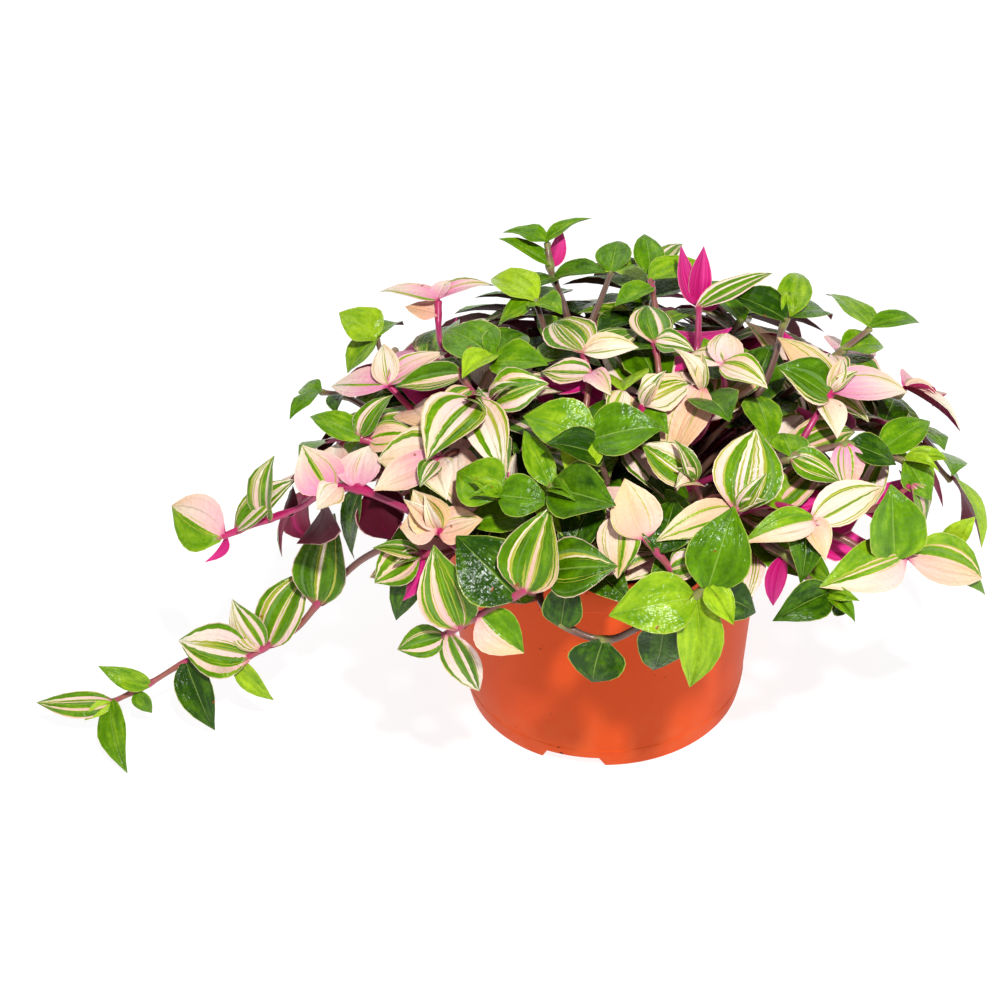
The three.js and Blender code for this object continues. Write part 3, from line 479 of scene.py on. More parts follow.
def apply_modifier(piece: bpy.types.Object, kind: str, **settings: Any) -> None:
    """Adds a modifier to a piece, and applies it.

    Args:
        piece: The piece.
        kind: The modifier's type.
        settings: The modifier's properties.
    """
    select_only(piece)
    modifier = piece.modifiers.new(kind.title(), kind)
    for key, value in settings.items():
        setattr(modifier, key, value)
    bpy.ops.object.modifier_apply(modifier=modifier.name)


def settle(piece: bpy.types.Object, slot: str, *nodes: str) -> None:
    """Puts a finished piece on its body, and reports it.

    Args:
        piece: The piece.
        slot: The record's material slot, which is not used.
        nodes: The nodes of the frame that the piece stands for, or none where it is added to them.
    """
    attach(piece, BODY)
    if nodes:
        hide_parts(*nodes)
    log.info("%s: %d faces", piece.name, len(piece.data.polygons))


@dataclass(frozen=True)
class Wire:
    """An output in a material's sheet of nodes, on which sums are written as Python expressions."""

    sheet: "Sheet"
    socket: bpy.types.NodeSocket

    def __add__(self, other: "Wire | float") -> "Wire":
        """The sum of two values."""
        return self.sheet.sum_of("ADD", self, other)

    def __radd__(self, other: float) -> "Wire":
        """The sum of a number and this value."""
        return self.sheet.sum_of("ADD", other, self)

    def __sub__(self, other: "Wire | float") -> "Wire":
        """This value less another."""
        return self.sheet.sum_of("SUBTRACT", self, other)

    def __rsub__(self, other: float) -> "Wire":
        """A number less this value."""
        return self.sheet.sum_of("SUBTRACT", other, self)

    def __mul__(self, other: "Wire | float") -> "Wire":
        """The product of two values."""
        return self.sheet.sum_of("MULTIPLY", self, other)

    def __rmul__(self, other: float) -> "Wire":
        """The product of a number and this value."""
        return self.sheet.sum_of("MULTIPLY", other, self)

    def __abs__(self) -> "Wire":
        """This value without its sign."""
        return self.sheet.sum_of("ABSOLUTE", self, 0)

    def clamped(self) -> "Wire":
        """This value kept between 0 and 1."""
        return self.sheet.node("ShaderNodeClamp", {}, {"Value": self})

    def past(self, edge: float, sharpness: float) -> "Wire":
        """A mask that goes from 0 to 1 as this value passes an edge."""
        return ((self - edge) * sharpness + 0.5).clamped()


class Sheet:
    """The sheet of nodes of one material, with its Principled shader."""

    def __init__(self, name: str, **fixed: Any) -> None:
        """Starts a material.

        Args:
            name: The material's name.
            fixed: Values that are the same all over, by the shader's socket with _ for a space.
        """
        self.material = bpy.data.materials.new(name)
        self.material.use_nodes = True
        self.tree = self.material.node_tree
        self.shader = self.tree.nodes["Principled BSDF"]
        for key, value in fixed.items():
            self.shader.inputs[key.replace("_", " ")].default_value = value

    def node(self, kind: str, settings: dict[str, Any], values: dict[str, Any], output: str = "") -> Wire:
        """Adds a node.

        Args:
            kind: The node's type.
            settings: Its properties, which are set first.
            values: Values or wires by the names of its sockets.
            output: The output's name, or nothing for the first one in use.

        Returns:
            A wire from that output.
        """
        made = self.tree.nodes.new(kind)
        for key, value in settings.items():
            setattr(made, key, value)
        for key, value in values.items():
            socket = next(s for s in made.inputs if s.enabled and s.name == key)
            self.feed(socket, value)
        return Wire(self, next(s for s in made.outputs if s.enabled and output in ("", s.name)))

    def feed(self, socket: bpy.types.NodeSocket, value: Any) -> None:
        """Links a wire to a socket, or sets the socket's own value.

        Args:
            socket: An input of a node.
            value: The wire or the value.
        """
        if isinstance(value, Wire):
            self.tree.links.new(value.socket, socket)
        else:
            socket.default_value = value

    def sum_of(self, operation: str, first: Any, second: Any) -> Wire:
        """Adds a Math node.

        Args:
            operation: What it does with its values.
            first: Its first value or wire.
            second: Its second value or wire.

        Returns:
            A wire from its output.
        """
        made = self.tree.nodes.new("ShaderNodeMath")
        made.operation = operation
        self.feed(made.inputs[0], first)
        self.feed(made.inputs[1], second)
        return Wire(self, made.outputs[0])

    def mix(self, first: Any, second: Any, share: Any) -> Wire:
        """The first colour, mixed with a share of the second."""
        return self.node("ShaderNodeMix", {"data_type": "RGBA"}, {"Factor": share, "A": first, "B": second})

    def vector(self, x: Any, y: Any, z: Any) -> Wire:
        """A vector of three values."""
        return self.node("ShaderNodeCombineXYZ", {}, {"X": x, "Y": y, "Z": z})

    def parts(self, vector: Wire) -> tuple[Wire, Wire, Wire]:
        """The three values of a vector."""
        split = self.node("ShaderNodeSeparateXYZ", {}, {"Vector": vector}).socket.node
        return tuple(Wire(self, socket) for socket in split.outputs)

    def attribute(self, name: str) -> Wire:
        """A vector that each point of the piece holds."""
        return self.node("ShaderNodeAttribute", {"attribute_name": name}, {}, "Vector")

    def place(self) -> Wire:
        """The point's place on the piece, in metres."""
        return self.node("ShaderNodeTexCoord", {}, {}, "Object")

    def noise(self, vector: Wire, scale: float, detail: float = 2.0, spread: float = 1.0) -> Wire:
        """A noise about a half, stretched by the spread."""
        made = self.node("ShaderNodeTexNoise", {}, {"Vector": vector, "Scale": scale, "Detail": detail})
        return (made - 0.5) * spread + 0.5

    def dress(
        self, colour: Any, roughness: Any, height: Wire, depth: float, strength: float
    ) -> bpy.types.Material:
        """Feeds the shader.

        Args:
            colour: The base colour.
            roughness: The roughness.
            height: The height of the fine relief, from 0 to 1.
            depth: How deep the relief is, in millimetres.
            strength: How strongly it shows.

        Returns:
            The finished material.
        """
        self.feed(self.shader.inputs["Base Color"], colour)
        self.feed(self.shader.inputs["Roughness"], roughness)
        bump = self.node(
            "ShaderNodeBump", {}, {"Strength": strength, "Distance": depth * MM, "Height": height}
        )
        self.feed(self.shader.inputs["Normal"], bump)
        return self.material


class LeafSheet(Sheet):
    """The sheet of one side of a leaf, with the places, marks and streaks that both its sides share."""

    # What makes a point of the leaf pale: shares of broad streaks, thin ones and a wave, above a level
    BROAD_SHARE = 0.4
    THIN_SHARE = 0.34
    WAVE_SHARE = 0.16
    LEVEL = 0.87

    def __init__(self, name: str, **fixed: Any) -> None:
        """Starts the material, and reads the leaf's own coordinates and what its points hold.

        Args:
            name: The material's name.
            fixed: Values that are the same all over, as on any sheet.
        """
        super().__init__(name, **fixed)
        across, self.along, _ = self.parts(self.node("ShaderNodeUVMap", {"uv_map": UV_NAME}, {}))
        self.across = across * 2 - 1
        self.cream, self.flush, self.tone = self.parts(self.attribute(LOOK_NAME))
        self.seed, self.ripe, self.dusk = self.parts(self.attribute(MARK_NAME))
        broad = self.streaks(across=2.6, along=0.25, seed=37, detail=0.5, spread=2.6)
        self.thin = self.streaks(across=10, along=0.45, seed=53, detail=1, spread=2.4)
        wave = self.sum_of("SINE", self.across * (self.seed * 4 + 7) + self.seed * 40, 0)
        streaked = broad * self.BROAD_SHARE + self.thin * self.THIN_SHARE + wave * self.WAVE_SHARE
        self.paleness = streaked + self.cream - self.LEVEL
        self.veins = self.streaks(across=17, along=1.6, seed=5, detail=2, spread=1.6)

    def streaks(self, across: float, along: float, seed: float, detail: float, spread: float) -> Wire:
        """A noise that is stretched along the leaf and differs from leaf to leaf.

        Args:
            across: How fast it changes from the midrib to the margin.
            along: How fast it changes from the base to the tip.
            seed: How far apart the leaves lie in the noise.
            detail: The noise's detail.
            spread: How far it is stretched from its middle value, a half.

        Returns:
            A wire from the noise.
        """
        spot = self.vector(self.across * across, self.along * along, self.seed * seed)
        return self.noise(spot, 1, detail, spread)

    def near_midrib(self, sharpness: float) -> Wire:
        """A mask that is 1 on the midrib and falls to 0 beside it."""
        return (1 - abs(self.across) * sharpness).clamped()

    def near_margin(self, edge: float, sharpness: float) -> Wire:
        """A mask that is 1 along the margin, from an edge given as a share of half the width."""
        return abs(self.across).past(edge, sharpness)


@dataclass(frozen=True)
class LeafFinish:
    """The upper side of a leaf: green, cream and pink stripes that run from its base to its tip."""

    dark: tuple = srgb(32, 66, 0)
    middle: tuple = srgb(91, 138, 3)
    lime: tuple = srgb(167, 199, 36)
    silver: tuple = srgb(108, 142, 72)
    band: tuple = srgb(164, 168, 54)
    cream: tuple = srgb(238, 228, 204)
    peach: tuple = srgb(236, 192, 140)
    pink: tuple = srgb(226, 144, 174)
    green_margin: tuple = srgb(176, 186, 84)
    pale_margin: tuple = srgb(240, 206, 180)
    midrib: tuple = srgb(168, 196, 90)
    line: tuple = srgb(86, 110, 34)
    rust: tuple = srgb(140, 66, 22)
    sheath: tuple = srgb(200, 34, 118)
    # How fine the rusty spots, the cells and the flecks of the green are, as scales of their noise
    spot_scale: float = 260
    cell_scale: float = 520
    fleck_scale: float = 700
    # The roughness of the green, and what the cream and the cells add to it
    roughness: float = 0.2
    cream_roughness: float = 0.16
    cell_roughness: float = 0.1

    def material(self) -> bpy.types.Material:
        """The finished material.

        Returns:
            The material, with its stripes, its margins and its fine relief.
        """
        sheet = LeafSheet("leaf_upper", Specular_IOR_Level=0.24)
        is_cream = sheet.paleness.past(edge=0, sharpness=26)
        is_band = sheet.paleness.past(edge=-0.08, sharpness=22)
        on_pale_leaf = sheet.cream.past(edge=0.1, sharpness=8)
        mottle = sheet.streaks(across=3, along=3, seed=11, detail=3, spread=2.2)
        green = self.green_stripes(sheet, mottle, on_pale_leaf)
        pale = self.pale_stripes(sheet, mottle)
        top = sheet.mix(sheet.mix(green, self.band, is_band), pale, is_cream)
        midrib = sheet.near_midrib(sharpness=26) * (1 - is_cream)
        top = sheet.mix(top, self.midrib, midrib * 0.45)
        margin = sheet.mix(self.green_margin, self.pale_margin, on_pale_leaf)
        top = sheet.mix(top, margin, sheet.near_margin(edge=0.965, sharpness=34) * 0.7)
        sheathed = (1 - sheet.along * 17).clamped() * on_pale_leaf
        top = sheet.mix(top, self.sheath, sheathed * (sheet.flush * 0.8 + 0.3).clamped())
        spots = sheet.noise(sheet.place(), self.spot_scale, detail=1, spread=1)
        top = sheet.mix(top, self.rust, spots.past(edge=0.78, sharpness=40) * 0.8)
        cells = sheet.noise(sheet.place(), self.cell_scale, detail=1, spread=1.6)
        height = sheet.veins * 0.3 + cells * 0.7 - sheet.near_midrib(sharpness=9) * 0.6
        roughness = self.roughness + is_cream * self.cream_roughness + cells * self.cell_roughness
        return sheet.dress(top, roughness, height, depth=0.9, strength=0.5)

    def green_stripes(self, sheet: LeafSheet, mottle: Wire, on_pale_leaf: Wire) -> Wire:
        """The green of a leaf, from dark to lime, silvery in places on a leaf that has pale stripes.

        Args:
            sheet: The leaf's sheet.
            mottle: A patchy noise.
            on_pale_leaf: A mask of the leaves that have pale stripes.

        Returns:
            The colour.
        """
        fleck = sheet.noise(sheet.place(), self.fleck_scale, detail=2, spread=1.6)
        shade = (sheet.tone + (mottle - 0.5) * 0.4 + (fleck - 0.5) * 0.16).clamped()
        green = sheet.mix(self.dark, self.middle, (shade * 2).clamped())
        green = sheet.mix(green, self.lime, (shade * 2 - 1).clamped())
        silvered = sheet.streaks(across=5, along=0.5, seed=71, detail=1, spread=2.4)
        silvered = silvered.past(edge=0.72, sharpness=6)
        return sheet.mix(green, self.silver, silvered * on_pale_leaf * 0.6)

    def pale_stripes(self, sheet: LeafSheet, mottle: Wire) -> Wire:
        """The cream of a leaf, warmer in places, flushed with pink near its base, with fine green lines.

        Args:
            sheet: The leaf's sheet.
            mottle: A patchy noise.

        Returns:
            The colour.
        """
        spot = sheet.vector(sheet.seed * 29, sheet.along * 0.8, sheet.across * 0.6)
        warmth = sheet.noise(spot, 1, detail=0, spread=3.4)
        ripeness = (mottle * 0.3 + warmth * 0.6 + sheet.ripe - 0.12).clamped()
        blush = (sheet.flush * (1.7 - sheet.along * 1.9) + (sheet.thin - 0.5) * 0.35 * sheet.flush).clamped()
        pale = sheet.mix(sheet.mix(self.cream, self.peach, ripeness), self.pink, blush)
        level = sheet.streaks(across=4, along=0.2, seed=91, detail=0, spread=1)
        hair = (1 - abs(level - 0.5) * 34).clamped()
        return sheet.mix(pale, self.line, hair * (0.55 - sheet.flush * 0.5))


@dataclass(frozen=True)
class UndersideFinish:
    """The lower side of a leaf: magenta where its upper side is pale, and plum where it is green."""

    rose: tuple = srgb(228, 76, 160)
    magenta: tuple = srgb(192, 14, 104)
    plum: tuple = srgb(74, 2, 28)
    moss: tuple = srgb(74, 70, 24)
    margin: tuple = srgb(230, 180, 170)

    def material(self) -> bpy.types.Material:
        """The finished material.

        Returns:
            The material, with the upper side's stripes showing faintly through.
        """
        sheet = LeafSheet("leaf_lower", Specular_IOR_Level=0.12)
        is_green = 1 - sheet.paleness.past(edge=0, sharpness=9)
        bright = sheet.mix(self.magenta, self.rose, (sheet.thin * 0.6 + sheet.along * 0.5 - 0.25).clamped())
        under = sheet.mix(bright, self.plum, (sheet.dusk + is_green * 0.25).clamped())
        under = sheet.mix(under, self.moss, is_green * sheet.tone * 0.4)
        under = sheet.mix(under, self.margin, sheet.near_margin(edge=0.955, sharpness=30) * 0.6)
        height = sheet.veins * 0.7 + sheet.near_midrib(sharpness=8) * 0.8
        return sheet.dress(under, 0.46 + sheet.thin * 0.08, height, depth=0.3, strength=0.35)


@dataclass(frozen=True)
class StemFinish:
    """A juicy stem, whose colour each point of the piece holds, with fine streaks along it."""

    shade: tuple = srgb(92, 30, 40)
    grain_scale: float = 420
    fine_scale: float = 1500

    def material(self) -> bpy.types.Material:
        """The finished material.

        Returns:
            The material.
        """
        sheet = Sheet("stem", Coat_Weight=0.25, Coat_Roughness=0.2)
        colour = sheet.attribute(LOOK_NAME)
        grain = sheet.noise(sheet.place(), self.grain_scale, detail=3, spread=1.8)
        fine = sheet.noise(sheet.place(), self.fine_scale, detail=1, spread=1.5)
        body = sheet.mix(colour, self.shade, (grain - 0.45).clamped() * 0.6)
        height = fine * 0.5 + grain * 0.5
        return sheet.dress(body, 0.34 + fine * 0.14, height, depth=0.3, strength=0.3)


@dataclass(frozen=True)
class PotFinish:
    """Moulded orange plastic with a soft sheen, a little dusty near its foot."""

    orange: tuple = srgb(218, 82, 28)
    deep: tuple = srgb(204, 66, 20)
    dust: tuple = srgb(214, 112, 66)
    soil: tuple = srgb(60, 30, 18)
    cloud_scale: float = 28
    dust_scale: float = 150
    speck_scale: float = 330
    grain_scale: float = 2600
    # Below this height, in metres, it is dusty
    dust_height: float = 0.02

    def material(self) -> bpy.types.Material:
        """The finished material.

        Returns:
            The material.
        """
        sheet = Sheet("pot", Specular_IOR_Level=0.09)
        place = sheet.place()
        _, _, height = sheet.parts(place)
        cloud = sheet.noise(place, self.cloud_scale, detail=4, spread=1.6)
        grain = sheet.noise(place, self.grain_scale, detail=2, spread=1.4)
        colour = sheet.mix(self.orange, self.deep, (cloud * 0.7).clamped())
        low = 1 - height.past(self.dust_height, sharpness=40)
        dusty = sheet.noise(place, self.dust_scale, detail=4, spread=2.2)
        dusty = low * dusty.past(edge=0.55, sharpness=2)
        colour = sheet.mix(colour, self.dust, dusty * 0.2)
        specks = sheet.noise(place, self.speck_scale, detail=1, spread=1)
        specks = specks.past(edge=0.765, sharpness=60) * (0.45 + low * 0.55)
        colour = sheet.mix(colour, self.soil, specks)
        roughness = 0.4 + cloud * 0.12 + specks * 0.3
        return sheet.dress(colour, roughness, grain, depth=0.12, strength=0.25)


@dataclass(frozen=True)
class EarthFinish:
    """A crumbly or woody finish in two colours."""

    name: str
    first: tuple
    second: tuple
    scale: float = 300.0
    roughness: float = 0.9
    depth: float = 1.2
    # How much finer its crumbs are than its lumps
    finer: float = 5

    def material(self) -> bpy.types.Material:
        """The finished material.

        Returns:
            The material.
        """
        sheet = Sheet(self.name, Specular_IOR_Level=0.3)
        place = sheet.place()
        coarse = sheet.noise(place, self.scale, detail=5, spread=2.0)
        fine = sheet.noise(place, self.scale * self.finer, detail=3, spread=1.8)
        colour = sheet.mix(self.first, self.second, (coarse * 0.8 + fine * 0.4 - 0.2).clamped())
        height = coarse * 0.6 + fine * 0.4
        return sheet.dress(colour, self.roughness, height, self.depth, strength=0.8)


@dataclass(frozen=True)
class Dress:
    """How a look shows on a leaf: shares of cream, pink and lime, how dusky it is below, and its extras."""

    cream: float
    flush: float
    tone: float
    dusk: float
    lean: float = 0.0
    spread: float = 0.08
    ripe: float = 0.0


DRESSES: Final = {
    STRIPED: Dress(0.41, 0.3, 0.42, 0.35, spread=0.04, ripe=-0.16),
    GREEN: Dress(-1.0, 0.0, 0.5, 0.7, spread=0.1),
    FRESH: Dress(-1.0, 0.0, 0.68, 0.6, spread=0.06),
    DARK: Dress(-1.0, 0.0, 0.16, 0.9, spread=0.1),
    LIME: Dress(-1.0, 0.0, 0.86, 0.6, spread=0.06),
    HALF: Dress(0.48, 0.35, 0.62, 0.3, lean=0.85, ripe=0.25),
    OTHER: Dress(0.48, 0.2, 0.62, 0.3, lean=-0.85, ripe=0.35),
    LINED: Dress(0.24, 0.1, 0.3, 0.4, spread=0.03),
    CREAM: Dress(0.68, 0.12, 0.5, 0.15),
    PEACH: Dress(0.74, 0.2, 0.5, 0.15, ripe=0.5),
    PINK: Dress(0.76, 0.7, 0.5, 0.0, spread=0.1),
    MAGENTA: Dress(0.85, 0.6, 0.4, 0.0),
    DUSKY: Dress(0.1, 0.2, 0.1, 0.95),
}
STEM_COLOURS: Final = {
    GREEN: ((116, 84, 68), (138, 148, 70)),
    STRIPED: ((156, 92, 78), (184, 34, 100)),
    PINK: ((192, 44, 108), (184, 12, 90)),
}
OLD_STEM: Final = (58, 32, 26)

# How steeply the halves of a leaf fold up, and how slim some leaves have rolled themselves
LISTED_FOLD: Final = 0.33
FOLDS: Final = {LIME: 0.5, MAGENTA: 0.75, DUSKY: 0.35}
SLIM: Final = {MAGENTA: 0.62}


@dataclass(frozen=True)
class Habit:
    """How a leaf bends: shares of its length or width, and degrees."""

    fold: float = PLAIN_FOLD
    arch: float = PLAIN_ARCH
    recurve: float = 0.06
    wave: float = 0.03
    phase: float = 0.0
    twist: float = 0.0
    sway: float = 0.0


# How far along a leaf each row of its points lies, and its share of the full width
FINE_ROWS: Final = (
    (-0.03, 0.2), (0.03, 0.43), (0.1, 0.69), (0.19, 0.89), (0.3, 0.99), (0.43, 0.985), (0.57, 0.865),
    (0.73, 0.615), (0.88, 0.28), (1.0, 0.02),
)
COARSE_ROWS: Final = (
    (-0.03, 0.2), (0.09, 0.65), (0.26, 0.97), (0.45, 0.97), (0.66, 0.74), (0.86, 0.34), (1.0, 0.02),
)


@dataclass
class LeafPattern:
    """A leaf that others are copied from: a thin closed blade, widest a third of the way along.

    Its points are x and y, shares of half its width and of its length, and z, a share of its thickness.
    """

    rows: Sequence[tuple[float, float]]
    columns: int = 4
    weld: float = 1e-4
    points: np.ndarray = field(init=False)
    across: np.ndarray = field(init=False)
    flat: np.ndarray = field(init=False)
    faces: list[list[int]] = field(init=False)
    lower: np.ndarray = field(init=False)

    def build(self) -> None:
        """Models the blade, keeps its points and faces, and removes it."""
        count = len(self.rows) - 1
        bpy.ops.object.select_all(action="DESELECT")
        bpy.ops.mesh.primitive_grid_add(x_subdivisions=self.columns, y_subdivisions=count, size=2)
        blade = bpy.context.object
        inner = blade.vertex_groups.new(name="inner")
        for row, (share, width) in enumerate(self.rows):
            self.shape_row(blade, row, share, width)
        for vertex in blade.data.vertices:
            row, column = divmod(vertex.index, self.columns + 1)
            on_edge = row in (0, count) or column in (0, self.columns)
            inner.add([vertex.index], 0.0 if on_edge else 1.0, "REPLACE")
        apply_modifier(
            blade, "SOLIDIFY", thickness=1, offset=0, vertex_group="inner", thickness_vertex_group=0
        )
        bpy.ops.object.mode_set(mode="EDIT")
        bpy.ops.mesh.select_all(action="SELECT")
        bpy.ops.mesh.remove_doubles(threshold=self.weld)
        bpy.ops.mesh.normals_make_consistent(inside=False)
        bpy.ops.object.mode_set(mode="OBJECT")
        mesh = blade.data
        self.points = np.array([vertex.co for vertex in mesh.vertices])
        nearest = np.abs(self.points[:, 1:2] - np.array([share for share, _ in self.rows])).argmin(1)
        self.across = self.points[:, 0] / np.array([width for _, width in self.rows])[nearest]
        self.flat = np.stack([(self.across + 1) / 2, self.points[:, 1]], 1)
        self.faces = [list(polygon.vertices) for polygon in mesh.polygons]
        self.lower = np.array([int(polygon.normal.z < 0) for polygon in mesh.polygons])
        bpy.data.objects.remove(blade)

    def shape_row(self, blade: bpy.types.Object, row: int, share: float, width: float) -> None:
        """Brings one row of the grid to its place and its width.

        Args:
            blade: The grid.
            row: The row's number, from the leaf's base.
            share: How far along the leaf it goes.
            width: Its share of the full width.
        """
        bpy.ops.object.mode_set(mode="EDIT")
        bpy.ops.mesh.select_all(action="DESELECT")
        bpy.ops.object.mode_set(mode="OBJECT")
        for vertex in blade.data.vertices:
            vertex.select = vertex.index // (self.columns + 1) == row
        height = next(vertex.co.y for vertex in blade.data.vertices if vertex.select)
        bpy.ops.object.mode_set(mode="EDIT")
        bpy.ops.transform.resize(value=(width, 1, 1))
        bpy.ops.transform.translate(value=(0, share - height, 0))
        bpy.ops.object.mode_set(mode="OBJECT")


class Mound:
    """The ellipsoid that the foliage fills."""

    @staticmethod
    def point(bearing: float, height: float, scale: float) -> np.ndarray:
        """A point by its direction from the mound's middle.

        Args:
            bearing: The bearing round the mound, in degrees from the right.
            height: The angle above its middle, in degrees.
            scale: How far out the point lies, with 1 on the surface.

        Returns:
            The point.
        """
        b, h = math.radians(bearing), math.radians(height)
        direction = np.array([math.cos(h) * math.cos(b), math.cos(h) * math.sin(b), math.sin(h)])
        return MOUND_MIDDLE + direction * MOUND_RADII * scale

    @staticmethod
    def normal(points: np.ndarray) -> np.ndarray:
        """The direction out of the mound at some points."""
        return unit((points - MOUND_MIDDLE) / MOUND_RADII**2)

    @staticmethod
    def depth(points: np.ndarray) -> np.ndarray:
        """How far out the points lie: 0 at the mound's middle and 1 on its surface."""
        return np.linalg.norm((points - MOUND_MIDDLE) / MOUND_RADII, axis=-1)


@dataclass
class LeafFrame:
    """The directions of a leaf, or of several from one base: along, up from the face, and to the side."""

    base: np.ndarray
    along: np.ndarray
    up: np.ndarray
    side: np.ndarray
    length: np.ndarray

    @classmethod
    def towards(cls, base: np.ndarray, tips: np.ndarray, look: Look, light: Sequence[float]) -> "LeafFrame":
        """Works out the directions of leaves from one base to their tips.

        Args:
            base: Where the leaves start.
            tips: A tip to each row.
            look: What they look like, as a leaf turned over faces the other way.
            light: What they turn to, apart from away from the mound.

        Returns:
            The frame, with a row for each tip.
        """
        chords = tips - base
        length = np.linalg.norm(chords, axis=-1, keepdims=True)
        along = chords / length
        up = Mound.normal((base + tips) / 2) + np.array(light)
        up = square_to(-up if look in TURNED_OVER else up, along)
        return cls(base, along, up, np.cross(along, up), length)

    def plain_point(self, share: float, across: np.ndarray | float) -> np.ndarray:
        """A point of the plain blade's middle surface, for each row."""
        lift = PLAIN_ARCH * self.length * 4 * share * (1 - share) + PLAIN_FOLD * np.abs(across)
        return self.base + self.along * self.length * share + self.side * across + self.up * lift


@dataclass
class Blade:
    """One leaf of a shoot: its directions, its width, its look and its habit."""

    frame: LeafFrame
    width: float
    look: Look
    habit: Habit
    seed: float
    shift: np.ndarray = field(default_factory=lambda: np.zeros(3))
    inner: bool = False

    # How much the fold flattens towards the margin
    FLATTENING = 0.36
    # Where along the leaf its tip starts to bend down, and where its twist is nothing
    RECURVE_FROM = 0.62
    TWIST_FROM = 0.2
    # How fast its margins wave, in radians a length, and how far the two are out of step
    WAVES = 9.0
    WAVE_STEP = 1.5
    # A stem nearer than this to the blade pierces it, except beside the leaf's own joint
    STEM_ROOM = 2.6
    JOINT_SHARE = 0.15
    # Where the blade's probes lie: shares of its length and of its width
    SPOTS = ((0.3, 0.0), (0.6, 0.0), (0.95, 0.0), (0.4, 0.4), (0.4, -0.4), (0.75, 0.2), (0.75, -0.2))

    def points(self, pattern: LeafPattern, thickness: float) -> np.ndarray:
        """Lays a pattern's points along this leaf.

        Args:
            pattern: The leaf to copy.
            thickness: How thick the leaf is, in millimetres.

        Returns:
            The points, in millimetres.
        """
        x, share, z = pattern.points.T
        frame, habit = self.frame, self.habit
        length = float(frame.length[0])
        half = self.width / 2
        spread = np.abs(x)
        past = np.clip((share - self.RECURVE_FROM) / (1 - self.RECURVE_FROM), 0, 1)
        ripple = np.sin(share * self.WAVES + habit.phase + self.WAVE_STEP * np.sign(x))
        lift = (
            habit.arch * length * 4 * share * (1 - share)
            + habit.fold * half * spread * (1 + self.FLATTENING * (0.5 - spread))
            - habit.recurve * length * past**2
            + habit.wave * self.width * spread**2 * ripple
        )
        bend = habit.sway * length * np.sin(np.clip(share, 0, 1) * math.pi)
        angle = np.radians(habit.twist) * (share - self.TWIST_FROM)
        side = frame.side * np.cos(angle)[:, None] + frame.up * np.sin(angle)[:, None]
        return (
            frame.base
            + frame.along * (length * share)[:, None]
            + side * (x * half)[:, None]
            + frame.side * bend[:, None]
            + frame.up * (lift + z * thickness)[:, None]
            + self.shift * (np.clip(1 - share, 0, 1) ** 2)[:, None]
        )

    def paint(self, pattern: LeafPattern, rng: np.random.Generator) -> tuple[np.ndarray, np.ndarray]:
        """Works out what the pattern's points hold for the finishes.

        Args:
            pattern: The leaf that was copied.
            rng: Where the draws come from.

        Returns:
            The look, of cream, flush and tone, and the mark, of seed, ripeness and dusk: rows of both.
        """
        dress = DRESSES[self.look]
        ones = np.ones(len(pattern.points))
        wobble = rng.normal(0, dress.spread, 3)
        cream = dress.cream + wobble[0] + dress.lean * pattern.across
        flush = np.clip(dress.flush + wobble[1] * (dress.flush > 0), 0, 1)
        tone = np.clip(dress.tone + wobble[2], 0, 1)
        dusk = np.clip(dress.dusk + wobble[2], 0, 1)
        look = np.stack([cream * ones, flush * ones, tone * ones], 1)
        mark = np.stack([self.seed * ones, dress.ripe * ones, dusk * ones], 1)
        return look, mark

    def pierced_by(self, stems: np.ndarray) -> int:
        """Counts the points of stems that lie in the blade.

        Args:
            stems: The points, one to a row.

        Returns:
            How many there are.
        """
        frame = self.frame
        away = stems - frame.base
        share = away @ frame.along[0] / frame.length[0]
        across = np.abs(away @ frame.side[0])
        lift = PLAIN_ARCH * frame.length[0] * 4 * share * (1 - share) + PLAIN_FOLD * across
        near = np.abs(away @ frame.up[0] - lift) < self.STEM_ROOM
        return int(np.sum(near & (share > self.JOINT_SHARE) & (share < 1) & (across < self.width / 2)))

    def probes(self) -> np.ndarray:
        """A few points of the blade, for telling how near it comes to others."""
        spots = [self.frame.plain_point(share, across * self.width) for share, across in self.SPOTS]
        return np.array(spots).reshape(-1, 3)


